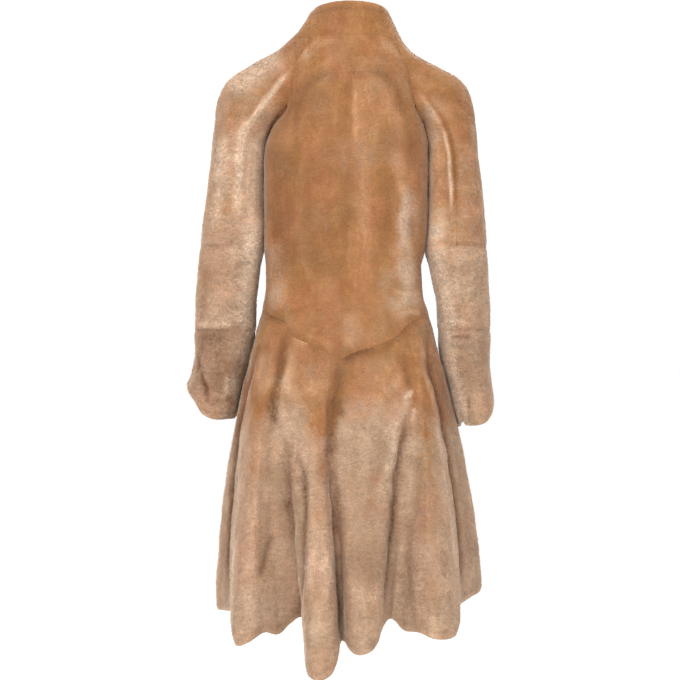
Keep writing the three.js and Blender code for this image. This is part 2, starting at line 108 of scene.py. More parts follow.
torso = {
    "forkZ": -12,            # the under sleeve starts here on the raglan seam
    "archZ": -31,            # top of the arched back panels
    "underarmZ": -178,
    "waistGuideZ": -450,
    "neckZ": 32,
    "roundness": 0.85,
    "fullest": 0.999,        # share of the depth that a raglan seam may reach
    "depthZ": (32, 16, 2, -12, -35, -70, -118, -178, -232, -274, -314, -349, -383, -422, -460, -500),
    "back": (80, 86, 91, 96, 104, 113, 120, 118, 112, 105, 96, 91, 91, 97, 104, 112),
    "front": (62, 71, 79, 86, 97, 110, 123, 133, 136, 127, 114, 105, 103, 106, 111, 117),
    "sideZ": (-178, -232, -274, -314, -349, -383, -422, -460, -500),
    "left": (-137.8, -137.8, -136.6, -138.2, -136.6, -138, -144, -153, -162),
    "right": (134.2, 134, 132.8, 130.2, 125, 127, 136.5, 147, 156),
    "backSeamZ": (32, -31, -33, -37, -50, -74, -108, -143, -178, -256, -336, -400, -500),
    "backLeft": (-48, 7.4, -16, -38, -63, -77.5, -83, -85, -86.5, -89.5, -92.8, -94, -94),
    "backCentre": (7.8, 7.4, 7.3, 7.2, 7, 6.6, 6, 5.4, 5, 3.5, 0, -4, -12),
    "backRight": (60, 7.4, 38, 56, 72, 87, 96, 104, 107, 101, 95, 92, 91),
    "frontSeamZ": (32, -50, -178, -349, -500),
    "frontLeft": (-34, -62, -78, -72, -84),
    "frontCentre": (1, 0, 0, 0, 0),
    "frontRight": (37, 64, 78, 70, 82),
    "backWaistX": (-143, -126, -100, -90, -46, -20, -9, 10, 50, 80, 99, 123, 134),
    "backWaistZ": (-420, -427, -438, -460, -478, -490, -498, -488, -475, -461, -441, -431, -430),
    "frontWaistX": (-143, -70, 0, 70, 140),
    "frontWaistZ": (-420, -432, -440, -436, -430),
}

sleeve = {
    "upperJoinZ": -311,
    "lowerJoinZ": -450,
    "z": (32, 16, 2, -12, -22, -35, -50, -74, -92, -108, -143, -178, -190, -232, -274, -314, -349,
          -400, -450, -485, -520, -548, -576, -620),
    "innerLeft": (64.5, 69, 77.5, 85.6, 87.8, 90.5, 93.8, 98, 105, 118, 135, 137.8, 139.4, 139.8, 138.8,
                  140.2, 145.5, 151.5, 153.5, 160, 168, 176, 182, 191.5),
    "outerLeft": (100, 120, 146.5, 171, 187, 203.5, 213, 219.5, 222, 223.5, 226.5, 230, 231.5, 237, 243,
                  247, 251, 255, 257.5, 257, 263, 274, 273, 274),
    "innerRight": (72, 80, 89, 96.5, 99, 102, 105.5, 111.3, 118, 124, 134, 134.2, 135.8, 136, 135,
                   132.4, 138, 149, 152.5, 155.5, 162.5, 169.5, 175, 184.5),
    "outerRight": (95, 107, 129, 159, 179, 195, 206, 212, 215, 216.5, 219.5, 223, 224.5, 229.5, 232.5,
                   235.5, 237.5, 240.5, 241.5, 242, 243, 247, 251, 253),
    "centre": (-4, -2, 0, 2, 3, 4, 4, 4, 3, 2, 1, 0, 0, 0, -1, 0, 3, 8, 14, 19, 23, 26, 28, 30),
    "reach": (56, 60, 63, 66, 68, 70, 71, 71, 70, 69, 67, 66, 66, 65, 63, 61, 59, 57, 56, 57, 59, 62, 65, 68),
    "gap": (108, 106, 103, 99, 95, 89, 82, 67, 55, 43, 21, 0, 0, 0, 0, 0, 0, 0, 0, 0, 0, 0, 0, 0),
    "seamZ": (-12, -35, -50, -74, -108, -148, -178, -232, -314, -400, -485, -620),
    "seamAngle": (99, 97.5, 95, 90, 84, 81, 83, 84, 85, 79, 76, 73),
    "armholeZ": (-12, -31, -37, -50, -74, -108, -143, -178),
    "hemAngle": (0, 34, 44, 54, 70, 105, 135, 160, 180, 215, 250, 290, 360),
    "hemLeft": (-600, -600, -600, -600, -600, -592, -567, -554, -546, -551, -566, -588, -600),
    "hemRight": (-608, -613, -599, -610, -610, -607, -597, -584, -575, -580, -590, -602, -609),
    "ventRise": 0.5,         # the cuff's seam opens this far up from its lower edge
    "ventHalfAngle": 4,
}


def sideName(side):
    return "Left" if side < 0 else "Right"


def sleeveOval(side, z):                 # angle 0 faces the torso, 90 the back, 180 outwards
    name = sideName(side)
    gap = np.radians(curveThrough(sleeve["z"], sleeve["gap"], z))
    inner = curveThrough(sleeve["z"], sleeve["inner" + name], z)
    outer = curveThrough(sleeve["z"], sleeve["outer" + name], z)
    halfWidth = (outer - inner) / (1 + np.cos(gap))
    centre = curveThrough(sleeve["z"], sleeve["centre"], z)
    reach = curveThrough(sleeve["z"], sleeve["reach"], z)
    return gap, halfWidth, outer - halfWidth, centre, reach


def sleevePoint(side, z, angle):
    gap, halfWidth, middle, centre, reach = sleeveOval(side, z)
    x = side * (middle - halfWidth * np.cos(angle))
    return np.stack((x, centre - reach * np.sin(angle), z + 0 * x), axis=-1)


def sleeveSeamAngle(z):
    above = np.radians(curveThrough(sleeve["z"], sleeve["gap"], z))
    below = np.radians(curveThrough(sleeve["seamZ"], sleeve["seamAngle"], z))
    return np.where(z >= torso["forkZ"], above, below)


def raglanPoint(face, side, z):
    return sleevePoint(side, z, -face * sleeveOval(side, z)[0])


def torsoSection(face, z):
    depth = curveThrough(torso["depthZ"], torso["back" if face < 0 else "front"], z)
    low = z <= torso["underarmZ"]
    left, right = raglanPoint(face, -1, z), raglanPoint(face, 1, z)
    power = 2 / torso["roundness"]
    narrowing = (1 - np.clip(np.abs(left[..., 1] / depth), 0, torso["fullest"]) ** power) ** (1 / power)
    leftX = np.where(low, curveThrough(torso["sideZ"], torso["left"], z), left[..., 0])
    rightX = np.where(low, curveThrough(torso["sideZ"], torso["right"], z), right[..., 0])
    halfWidth = (rightX - leftX) / 2 / np.where(low, 1, narrowing)
    return depth, (leftX + rightX) / 2, halfWidth


def torsoPoint(face, z, turn):
    depth, middle, halfWidth = torsoSection(face, z)
    x = middle + halfWidth * signedPower(np.sin(turn), torso["roundness"])
    y = face * depth * signedPower(np.cos(turn), torso["roundness"])
    return np.stack((x, y, z + 0 * x), axis=-1)


def turnAt(face, z, x):
    depth, middle, halfWidth = torsoSection(face, z)
    share = np.clip((x - middle) / halfWidth, -1, 1)
    return np.arcsin(signedPower(share, 1 / torso["roundness"]))


def sideSeam(face, side):
    def turn(z):
        above = turnAt(face, z, raglanPoint(face, side, z)[..., 0])
        return np.where(z <= torso["underarmZ"], side * np.pi / 2, above)
    return turn


def backSeam(name):
    def turn(z):
        x = np.where(z >= torso["archZ"], curveThrough(torso["backSeamZ"], torso["backCentre"], z),
                     curveThrough(torso["backSeamZ"], torso["back" + name], z))
        return turnAt(-1, z, x)
    return turn


def frontSeam(name):
    def turn(z):
        return turnAt(1, z, curveThrough(torso["frontSeamZ"], torso["front" + name], z))
    return turn


def cells(length):
    return max(meshing["fewest"], int(round(length / pelt["cell"])))


def bodicePanel(face, start, end, width, topZ):
    u = np.linspace(0, 1, cells(width) + 1)[None, :]
    drop = np.linspace(0, 1, meshing["archRows"]) ** meshing["archPower"]
    heights = torso["archZ"] + (torso["underarmZ"] - torso["archZ"]) * drop
    if topZ > torso["archZ"]:
        yoke = np.linspace(topZ, torso["archZ"], meshing["yokeRows"])[:-1]
        heights = np.concatenate((yoke, heights))
    z = heights[:, None] + 0 * u
    upper = torsoPoint(face, z, mix(start(z), end(z), u))
    guideZ = torso["waistGuideZ"] + 0 * u
    guide = torsoPoint(face, guideZ, mix(start(guideZ), end(guideZ), u))[..., 0]
    name = "backWaist" if face < 0 else "frontWaist"
    waistZ = curveThrough(torso[name + "X"], torso[name + "Z"], guide)
    v = np.linspace(0, 1, cells(meshing["bodice"]) + 1)[1:, None]
    z = mix(torso["underarmZ"], waistZ, v)
    lower = torsoPoint(face, z, mix(start(z), end(z), u))
    return np.concatenate((upper, lower))


skirt = {
    "centre": (0, -10),
    "radii": (219, 186),     # of the even oval that the folds stand on
    "hipLeft": 1.85,         # how early each side flares
    "hipRight": 1.6,
    "foldGrowth": 1.2,       # above 1 the folds start slowly
    "swayPeak": 0.6,         # a fold leans sideways most about this far down
    # one row for each crest, flank and valley of the hem, from the centre back round by the right:
    # x, y, z and sway
    "hem": (
        (-9, -172, -942, -13), (1, -204, -952, -6), (20, -224, -955, 2), (44, -213, -947, 8),
        (58, -180, -923, 14), (70, -150, -911, 18), (86, -160, -927, 20), (109, -188, -926, 14),
        (136, -206, -933, 6), (165, -191, -934, 2), (180, -152, -926, 0), (184, -106, -899, 0),
        (208, -52, -891, 0), (227, -8, -886, 0), (216, 46, -886, 0), (180, 88, -892, 0),
        (163, 134, -902, 0), (137, 160, -906, 0), (106, 148, -900, 6), (80, 138, -894, 6),
        (56, 172, -902, 3), (28, 180, -905, 0), (1, 160, -898, 0), (-27, 178, -904, 0),
        (-54, 168, -900, -3), (-79, 135, -893, -6), (-104, 146, -900, -6), (-134, 160, -907, 0),
        (-160, 132, -903, 0), (-177, 86, -896, 0), (-206, 42, -902, 0), (-220, -14, -915, 0),
        (-204, -60, -912, 0), (-188, -112, -908, -2), (-187, -158, -928, -4), (-176, -194, -945, -6),
        (-152, -198, -939, -10), (-128, -176, -928, -16), (-107, -158, -934, -20), (-88, -146, -918, -20),
        (-72, -150, -914, -18), (-67, -190, -979, -16), (-61, -222, -989, -14), (-43, -237, -993, -12),
        (-23, -224, -985, -12), (-12, -200, -968, -13),
    ),
    # the row that each seam runs down to
    "seams": {"centreBack": 0, "backRight": 6, "sideRight": 13, "frontRight": 18,
              "centreFront": 22, "frontLeft": 26, "sideLeft": 31, "backLeft": 38},
}


def hemAt(place):
    rows = np.array(skirt["hem"], float)
    i = np.floor(place).astype(int)
    t = (place - i)[:, None]
    a, b, c, d = (rows[(i + k) % len(rows)] for k in (-1, 0, 1, 2))
    return b + 0.5 * t * (c - a + t * (2 * a - 5 * b + 4 * c - d + t * (3 * (b - c) + d - a)))


def skirtGore(waistRow, fromSeam, toSeam, width):
    start, end = skirt["seams"][fromSeam], skirt["seams"][toSeam]
    end += len(skirt["hem"]) if end < start else 0
    along = np.linspace(0, 1, len(waistRow))
    u = np.linspace(0, 1, cells(width) + 1)
    top = np.stack([np.interp(u, along, waistRow[:, k]) for k in range(3)], axis=-1)[None]
    hem = hemAt(mix(start, end, u))[None]
    v = np.linspace(0, 1, cells(meshing["skirt"]) + 1)[:, None]
    centreX, centreY = skirt["centre"]
    radiusX, radiusY = skirt["radii"]
    turn = np.arctan2((hem[..., 1] - centreY) / radiusY, (hem[..., 0] - centreX) / radiusX)
    curve = mix(skirt["hipLeft"], skirt["hipRight"], (1 + np.cos(turn)) / 2)
    flare = 1 - (1 - v) ** curve
    fold = v ** skirt["foldGrowth"]
    evenX, evenY = centreX + radiusX * np.cos(turn), centreY + radiusY * np.sin(turn)
    sway = hem[..., 3] * np.sin(np.pi * v ** skirt["swayPeak"])
    x = mix(top[..., 0], evenX, flare) + (hem[..., 0] - evenX) * fold + sway
    y = mix(top[..., 1], evenY, flare) + (hem[..., 1] - evenY) * fold
    return np.stack((x, y, mix(top[..., 2], hem[..., 2], v)), axis=-1)


def turned(side, rows):                  # columns always run counter-clockwise seen from above
    return rows[:, ::-1] if side < 0 else rows


def outerSleeve(side, fromZ, toZ):
    length = fromZ - toZ
    z = np.linspace(fromZ, toZ, cells(length) + 1)[:, None]
    if fromZ > 0:                        # closer rows over the shoulder, where the slope is flat
        count = cells(length * meshing["shoulderShare"])
        z = fromZ - length * np.linspace(0, 1, count + 1)[:, None] ** meshing["shoulderPower"]
    u = np.linspace(0, 1, cells(meshing["sleeve"]) + 1)[None, :]
    seam = sleeveSeamAngle(z)
    return turned(side, sleevePoint(side, z + 0 * u, mix(seam, 2 * np.pi - seam, u)))


def underSleeve(side):
    u = np.linspace(-1, 1, 2 * (cells(meshing["underWidth"]) // 2) + 1)[None, :]
    steps = np.linspace(0, 1, len(sleeve["armholeZ"]))
    topZ = np.interp(1 - np.abs(u), steps, sleeve["armholeZ"])
    topShare = sleeveOval(side, topZ)[0] / sleeveSeamAngle(topZ)
    v = np.linspace(0, 1, cells(meshing["underLength"]) + 1)[:, None]
    z = mix(topZ, sleeve["lowerJoinZ"], v)
    share = np.sign(u) * mix(topShare, np.abs(u), v)
    return turned(side, sleevePoint(side, z, share * sleeveSeamAngle(z)))


def cuffPart(side, fromTurn, fromSeam, toTurn, toSeam, width):
    seamAt = float(sleeveSeamAngle(np.array(sleeve["lowerJoinZ"], float)))
    u = np.linspace(0, 1, cells(width) + 1)[None, :]
    v = np.linspace(0, 1, cells(meshing["cuff"]) + 1)[:, None]
    angle = mix(fromTurn + fromSeam * seamAt, toTurn + toSeam * seamAt, u)
    degrees = np.mod(np.degrees(angle), 360)
    fromVent = np.abs(degrees - np.degrees(seamAt))
    notch = sleeve["ventRise"] * np.clip(1 - fromVent / sleeve["ventHalfAngle"], 0, 1)
    hemZ = curveThrough(sleeve["hemAngle"], sleeve["hem" + sideName(side)], degrees) + notch
    z = mix(sleeve["lowerJoinZ"], hemZ, v)
    seam = sleeveSeamAngle(z)
    return turned(side, sleevePoint(side, z, mix(fromTurn + fromSeam * seam, toTurn + toSeam * seam, u)))


collar = {
    "x": 5, "y": -6, "halfWidth": 70.5, "halfDepth": 70, "z": 77, "backRise": 12,
    "spread": 1.5, "neckHalfWidth": 97, "neckHalfDepth": 72,
}


def collarHalf(neckRow):
    neckRow = neckRow[None]
    v = np.linspace(0, 1, meshing["collarRows"])[:, None]
    turn = np.arctan2((neckRow[..., 1] - collar["y"]) / collar["neckHalfDepth"],
                      (neckRow[..., 0] - collar["x"]) / collar["neckHalfWidth"])
    spread = v ** collar["spread"]
    topX = collar["x"] + collar["halfWidth"] * np.cos(turn)
    topY = collar["y"] + collar["halfDepth"] * np.sin(turn)
    topZ = collar["z"] - collar["backRise"] * np.sin(turn)
    x, y = mix(topX, neckRow[..., 0], spread), mix(topY, neckRow[..., 1], spread)
    return np.stack((x, y, mix(topZ, neckRow[..., 2], v)), axis=-1)


# every panel: its points, its edges (top, right, bottom, left) and its slot

panels = {}


def addPanel(name, rows, edges, slot):
    panels[name] = {"rows": rows, "edges": edges.split(), "slot": slot}


back, front, left, right = -1, 1, -1, 1
neckZ, archZ = torso["neckZ"], torso["archZ"]
bodiceCut = (                            # name, face, from and to, width, top, edges
    ("back_side_left", back, sideSeam(back, left), backSeam("Left"), 88, neckZ, "neck princess waist side"),
    ("back_centre_left", back, backSeam("Left"), backSeam("Centre"), 100, archZ,
     "arch centreBack waist princess"),
    ("back_centre_right", back, backSeam("Centre"), backSeam("Right"), 108, archZ,
     "arch princess waist centreBack"),
    ("back_side_right", back, backSeam("Right"), sideSeam(back, right), 84, neckZ,
     "neck side waist princess"),
    ("front_side_right", front, sideSeam(front, right), frontSeam("Right"), 100, neckZ,
     "neck princess waist side"),
    ("front_right", front, frontSeam("Right"), frontSeam("Centre"), 84, neckZ, "neck closure waist princess"),
    ("front_left", front, frontSeam("Centre"), frontSeam("Left"), 84, neckZ, "neck princess waist closure"),
    ("front_side_left", front, frontSeam("Left"), sideSeam(front, left), 100, neckZ,
     "neck side waist princess"),
)
for name, face, start, end, width, topZ, edges in bodiceCut:
    addPanel(name, bodicePanel(face, start, end, width, topZ), edges, "honey_pile")

skirtCut = (                             # name, the panel above, from and to, width and edges
    ("skirt_side_back_left", "back_side_left", "sideLeft", "backLeft", 286, "waist gore free side"),
    ("skirt_back_left", "back_centre_left", "backLeft", "centreBack", 280, "waist gore free gore"),
    ("skirt_back_right", "back_centre_right", "centreBack", "backRight", 200, "waist gore free gore"),
    ("skirt_side_back_right", "back_side_right", "backRight", "sideRight", 300, "waist side free gore"),
    ("skirt_side_front_right", "front_side_right", "sideRight", "frontRight", 234, "waist gore free side"),
    ("skirt_front_right", "front_right", "frontRight", "centreFront", 138, "waist closure free gore"),
    ("skirt_front_left", "front_left", "centreFront", "frontLeft", 136, "waist gore free closure"),
    ("skirt_side_front_left", "front_side_left", "frontLeft", "sideLeft", 236, "waist side free gore"),
)
for name, above, fromSeam, toSeam, width, edges in skirtCut:
    addPanel(name, skirtGore(panels[above]["rows"][-1], fromSeam, toSeam, width), edges, "skirt_pile")

upper, lower = sleeve["upperJoinZ"], sleeve["lowerJoinZ"]
for name, side in (("left", left), ("right", right)):
    outerCuff = cuffPart(side, 0, 1, 2 * np.pi, -1, meshing["cuffOuter"])
    underCuff = cuffPart(side, 0, -1, 0, 1, meshing["cuffUnder"])
    for part, rows, edges in (
        ("sleeve_outer_", outerSleeve(side, neckZ, upper), "neck raglan join raglan"),
        ("sleeve_outer_middle_", outerSleeve(side, upper, lower), "join sleeveSeam join sleeveSeam"),
        ("sleeve_under_", underSleeve(side), "armhole sleeveSeam join sleeveSeam"),
        ("cuff_outer_", outerCuff, "join sleeveSeam free sleeveSeam"),
        ("cuff_under_", underCuff, "join sleeveSeam free sleeveSeam"),
    ):
        addPanel(part + name, rows, edges, "beige_pile")


def topRow(*names):
    return np.concatenate([panels[name]["rows"][0] for name in names])


def evenRow(row, count):                 # the same line, with even spacing
    step = np.linalg.norm(np.diff(row, axis=0), axis=1)
    kept = np.concatenate(([True], step > tiny))
    row = row[kept]
    along = np.concatenate(([0], np.cumsum(np.linalg.norm(np.diff(row, axis=0), axis=1))))
    even = np.linspace(0, along[-1], count + 1)
    return np.stack([np.interp(even, along, row[:, k]) for k in range(3)], axis=-1)


neckRight = topRow("back_side_right", "sleeve_outer_right", "front_side_right", "front_right")
neckLeft = topRow("front_left", "front_side_left", "sleeve_outer_left", "back_side_left")
for name, row, edges in (("collar_right", neckRight, "free closure neck centreCollar"),
                         ("collar_left", neckLeft, "free centreCollar neck closure")):
    addPanel(name, collarHalf(evenRow(row, cells(meshing["collar"]))), edges, "honey_pile")
print("panels drawn:", len(panels))


# creases, ridges and brushed marks as seen from behind: path (x, z, x, z and so on), width, depth, darkness
# and honey. The darkness is painted shade along creases, valleys and the arch as well as darker brushed pile;
# a darkness under nothing is a pale mark, painted highlight along ridges and fold edges as well as paler
# brushed pile, and honey shifts the pile's tone.
backMarks, frontMarks = {}, {}
backMarks["bodice"] = (
    ((1, -36, 1, -80, 0, -150), 6, 0, 0.2, 0),
    ((12, -36, 12, -80, 11, -150), 5, 0.2, -0.2, 0),
    ((16, -38, 17, -80, 18, -135), 12, 0.3, -0.16, 0),
    ((34, -60, 42, -100, 44, -150), 16, 0, -0.1, 0),
    ((23, -140, 27, -190, 29, -240, 28, -320), 11, 0.8, -0.24, 0),
    ((-4, -150, -8, -220, -6, -330), 12, -0.3, 0.14, 0),
    ((-40, -60, -50, -120), 18, 0, 0.12, 0),
    ((50, -190, 49, -230, 47, -290, 44, -360), 8, -0.5, 0.1, 0),
    ((68, -180, 69, -225, 66, -285, 61, -345), 10, -1.1, 0.32, 0),
    ((6, -240, 10, -300, 8, -360), 10, 0, 0.12, 0),
    ((76, -150, 84, -190, 88, -231), 12, 0.8, -0.28, 0),
    ((8, -32, -13, -30, -43, -37, -61, -46, -72, -58, -79, -72, -84, -100, -88, -130), 10, -1.0, 0.22, 0),
    ((8, -32, 30, -31, 50, -32, 64, -41, 78, -54, 88, -70, 93, -91, 100, -117, 107, -150, 109, -200), 9,
     -1.2, 0.3, 0),
    ((20, -50, 60, -62, 78, -90, 88, -125), 16, 0.6, -0.16, 0),
    ((-104, -140, -106, -239, -105, -303, -103, -377), 18, -1.0, 0.36, 0),
    ((-120, -160, -124, -240, -122, -310), 14, 0, 0.2, 0),
    ((-88, -72, -96, -92, -108, -112), 10, -0.6, 0.3, 0),
    ((-58, -150, -62, -230, -58, -320), 26, 0.5, 0.04, 0.2),
    ((100, -215, 99, -270, 96, -330, 98, -390), 18, 0, -0.16, -0.75),
    ((100, -330, 104, -370, 106, -410), 26, 0, -0.12, -0.5),
    ((92, -205, 93, -260, 88, -325), 8, 0.8, -0.26, -0.25),
    ((108, -260, 108, -320), 5, -0.4, 0.2, 0.3),
    ((-124, -290, -120, -350, -116, -405), 19, 0, -0.12, -0.5),
    ((-60, -120, -64, -260, -58, -400), 30, 0, 0.06, 0),
    ((60, -414, 95, -404, 128, -408), 19, 0.5, -0.12, -0.42),
    ((72, -384, 100, -392, 124, -388), 4, 0.8, -0.3, 0),
    ((84, -428, 104, -420, 124, -424), 5, 0.7, -0.3, 0),
    ((-137, -388, -106, -412), 15, 0.6, -0.1, -0.35),
    ((4, -420, 9, -450, 4, -480), 16, 0, -0.14, -0.14),
    ((-84, -452, -46, -468, -16, -482), 7, 0.7, -0.14, 0),
    ((-60, -4, -20, -20, 10, -24, 48, -16, 70, -2), 16, 0, -0.06, 0),
    ((-62, 24, -44, 22, -18, 24), 8, 0.4, -0.24, 0),
    ((-80, 18, -70, 6, -60, -6), 9, 0, -0.2, -0.2),
    ((52, 20, 74, 12, 92, -4), 9, 0.4, -0.2, -0.2),
    ((2, 24, 3, -10, 6, -30), 7, -0.5, 0.16, 0),
    ((-74, -330, -30, -352, 20, -362), 20, -0.5, 0.05, 0),
)
backMarks["skirt"] = (
    ((-142, -420, -127, -427, -98, -440), 8, -1.2, 0.5, 0.3),
    ((-128, -440, -118, -480, -124, -540), 16, 0, 0, -0.12),
    ((-90, -462, -62, -472), 5, 0.5, -0.4, 0),
    ((-62, -474, -20, -492), 5, -0.6, 0.26, 0),
    ((-12, -503, 7, -492, 24, -487, 50, -479), 8, -1.2, 0.55, 0.2),
    ((50, -479, 78, -465, 99, -443, 125, -434), 8, -0.8, 0.34, 0),
    ((-148, -482, -168, -555, -181, -621, -190, -712, -196, -799, -194, -890), 7, -5.0, 0.75, 0.3),
    ((-137, -482, -156, -555, -169, -621, -177, -712, -183, -799, -181, -890), 4, 1.2, -0.14, 0),
    ((-100, -455, -103, -475, -112, -520, -119, -562, -118, -618), 8, -4.5, 0.62, 0.2),
    ((-92, -470, -96, -520, -104, -556), 10, 0.6, -0.3, -0.1),
    ((-106, -612, -100, -632, -96, -680, -94, -730, -85, -800), 6, -3.2, 0.36, 0),
    ((-83, -612, -88, -630, -93, -652), 4, -1.0, 0.22, 0),
    ((-82, -648, -72, -672, -66, -690), 5, -1.2, 0.3, 0),
    ((-128, -600, -125, -690), 4, -0.6, 0.12, 0),
    ((-118, -775, -126, -800, -136, -842), 6, -2.4, 0.55, 0.2),
    ((-104, -650, -92, -745, -84, -860), 14, -1.2, 0.25, 0),
    ((-74, -655, -68, -700, -68, -740, -71, -800, -75, -870, -76, -950), 7, -4.4, 0.7, 0),
    ((-62, -700, -58, -780, -60, -860), 8, 0.8, -0.2, 0),
    ((-12, -499, -17, -540, -25, -574, -26, -604, -26, -670), 9, -4.5, 0.5, 0.15),
    ((-26, -650, -22, -700, -16, -783, -10, -936), 8, -4.0, 0.5, 0),
    ((88, -480, 95, -520, 106, -550), 7, -2.2, 0.42, 0.2),
    ((107, -558, 98, -595, 86, -638, 79, -697, 68, -814, 58, -900), 7, -4.8, 0.7, 0),
    ((108, -548, 101, -554, 90, -562), 3, 1.4, -0.5, -0.5),
    ((93, -566, 82, -610, 66, -660, 58, -720), 11, 0.8, -0.3, -0.6),
    ((108, -575, 104, -600), 5, 0.6, -0.35, -0.3),
    ((97, -733, 95, -816, 100, -870, 108, -930), 5, -1.0, 0.22, 0),
    ((135, -437, 134, -501, 150, -558, 165, -640, 173, -701, 182, -769, 189, -887), 7, -5.0, 0.75, 0.4),
    ((125, -437, 122, -501, 138, -558, 152, -640, 159, -701, 168, -769, 175, -887), 4, 1.2, -0.3, 0),
    ((140, -480, 158, -540, 168, -600), 12, 0, 0.3, 0.7),
    ((160, -520, 176, -620, 194, -740, 206, -850), 18, 0, 0.22, 0.25),
    ((-152, -470, -176, -560, -190, -660, -199, -800, -202, -900), 15, 0, 0.34, 0.3),
    ((128, -570, 134, -640, 136, -720, 132, -790), 16, 0, 0.04, 0.36),
    ((114, -640, 118, -720, 116, -800), 10, 0, 0.05, 0.25),
    ((52, -620, 60, -660, 56, -700), 18, 0, 0.1, 0.38),
    ((26, -730, 48, -736), 16, 0, 0.08, 0.22),
    ((-36, -640, -38, -690, -46, -760), 14, 0, 0.1, 0.3),
    ((-148, -560, -150, -640, -140, -700), 18, 0, 0, 0.45),
    ((-98, -575, -88, -620, -76, -680), 13, 0.4, -0.12, -0.8),
    ((20, -790, 30, -860), 16, 0, 0.08, 0.2),
    ((-40, -720, -34, -800, -30, -880), 14, 0.6, -0.16, 0),
    ((-42, -600, -40, -650, -44, -700), 13, 0, 0.05, 0.3),
    ((-14, -560, -10, -590), 6, -0.6, 0.3, 0.3),
    ((-96, -720, -104, -790), 14, 0, 0.1, 0.2),
    ((-60, -925, -50, -955), 12, -0.5, 0.1, 0),
    ((24, -700, 30, -780), 14, 0.6, -0.08, 0),
    ((130, -770, 140, -900), 20, 0, 0.06, 0.1),
    ((20, -510, 60, -515, 84, -545), 28, 0, -0.22, -0.1),
    ((-66, -500, -62, -560), 26, 0, -0.24, 0),
    ((-138, -480, -142, -560), 20, 0, -0.3, -0.2),
    ((30, -640, 36, -760, 30, -860), 36, 0, 0.17, 0.1),
    ((-130, -660, -140, -760), 30, 0, 0.04, 0.1),
    ((-150, -840, -128, -930), 34, 0, -0.2, 0.12),
    ((122, -600, 130, -690), 17, 0, 0.04, 0.22),
)
backMarks["sleeve"] = (
    ((-96, -26, -112, -46, -130, -70, -148, -92, -160, -108), 4.5, 1.8, -0.6, -0.5),
    ((-150, -94, -170, -126, -176, -176, -182, -270), 8, 1.0, -0.5, -0.5),
    ((-110, -30, -128, -52, -148, -76, -168, -110), 7, -0.8, 0.16, 0.3),
    ((-92, -40, -108, -62, -124, -88), 9, -0.8, 0.1, 0.3),
    ((-94, -66, -100, -86, -116, -105, -128, -120, -135, -138, -139, -165), 5, -0.8, 0.4, 0.3),
    ((-104, -48, -96, -62), 6, 0, 0.2, 0),
    ((-160, -150, -152, -220, -150, -290), 18, 0, 0.06, 0.35),
    ((118, -58, 129, -78, 144, -97, 154, -116), 5, 1.2, -0.25, -0.1),
    ((152, -110, 160, -130, 166, -160, 169, -195, 171, -258), 3.2, 1.6, -0.75, -0.5),
    ((126, -62, 140, -84, 156, -104, 168, -132, 175, -165, 177, -200, 178, -262), 4.5, -1.2, 0.42, 0.4),
    ((118, -92, 124, -114, 134, -133, 138, -152, 137, -190), 5, -1.2, 0.5, 0.2),
    ((140, -306, 160, -308, 184, -311), 4, -1.3, 0.32, 0.2),
    ((200, -556, 200, -580, 201, -612), 3.5, -2.0, 0.5, 0),
    ((180, -579, 197, -577), 3, 0.6, -0.5, 0),
    ((180, -586, 197, -584), 3, -0.8, 0.25, 0),
    ((158, -436, 200, -438), 4, 0.7, -0.4, 0),
    ((166, -463, 208, -461), 4, -1.2, 0.5, 0),
    ((168, -478, 196, -480), 4, -0.9, 0.3, 0),
    ((-256, -440, -222, -444, -190, -440), 5, 0.9, -0.6, -0.2),
    ((-250, -462, -200, -464), 5, -0.9, 0.2, 0),
    ((-199, -524, -200, -556), 3, 0.8, -0.7, 0),
    ((-198, -558, -188, -580), 9, -1.6, 0.6, 0.4),
    ((-222, -548, -206, -550), 4, -0.8, 0.2, 0),
    ((-226, -562, -208, -566), 4, -0.8, 0.2, 0),
    ((136, -60, 146, -140, 148, -190), 13, 0, -0.16, -0.3),
    ((150, -130, 152, -190, 152, -256), 13, 0, 0.3, 0.7),
    ((140, -262, 158, -264, 172, -262), 6, -0.6, 0.2, 0),
    ((142, -275, 146, -300), 10, 0, -0.3, -0.7),
    ((-196, -62, -182, -40, -150, -14, -106, 10), 26, 0, -0.3, -0.75),
    ((-205, -120, -212, -200, -218, -290), 12, 0, -0.3, -0.3),
    ((-180, -66, -188, -100, -192, -130), 13, 0, 0, 0.25),
    ((-190, -230, -206, -262), 12, -0.4, 0.12, 0.3),
    ((190, -70, 196, -110, 190, -140), 22, 0, 0.06, 0.2),
    ((-222, -330, -236, -360, -238, -420), 9, -0.8, 0.16, 0.2),
    ((-206, -430, -214, -490, -214, -560), 44, 0, 0.4, 0),
    ((-172, -505, -176, -540), 12, 0, 0.3, 0.4),
    ((196, -450, 210, -500, 216, -560), 36, 0, 0.22, 0),
    ((-252, -484, -248, -512, -242, -532, -235, -543, -231, -575), 5, -2.4, 0.5, 0),
    ((-231, -575, -214, -570, -196, -564), 5, -1.0, 0.35, 0),
    ((170, -300, 180, -360, 182, -420), 5, 0.4, -0.18, 0),
    ((226, -360, 222, -420, 232, -500), 9, -0.8, 0.12, 0),
    ((-150, -330, -176, -352, -200, -360), 8, -0.8, 0.12, 0),
    ((150, -335, 176, -352, 196, -366), 8, -0.8, 0.12, 0),
)
backMarks["collar"] = (
    ((-58, 56, -20, 60, 20, 60, 62, 54), 9, -0.5, 0.1, 0),
    ((-64, 38, -30, 34, 8, 32, 40, 33, 74, 36), 7, -0.3, 0.08, 0),
    ((-44, 74, 0, 80, 46, 74), 7, 0, 0.16, 0.2),
    ((-62, 70, -70, 50, -78, 38), 8, 0, -0.12, 0),
)
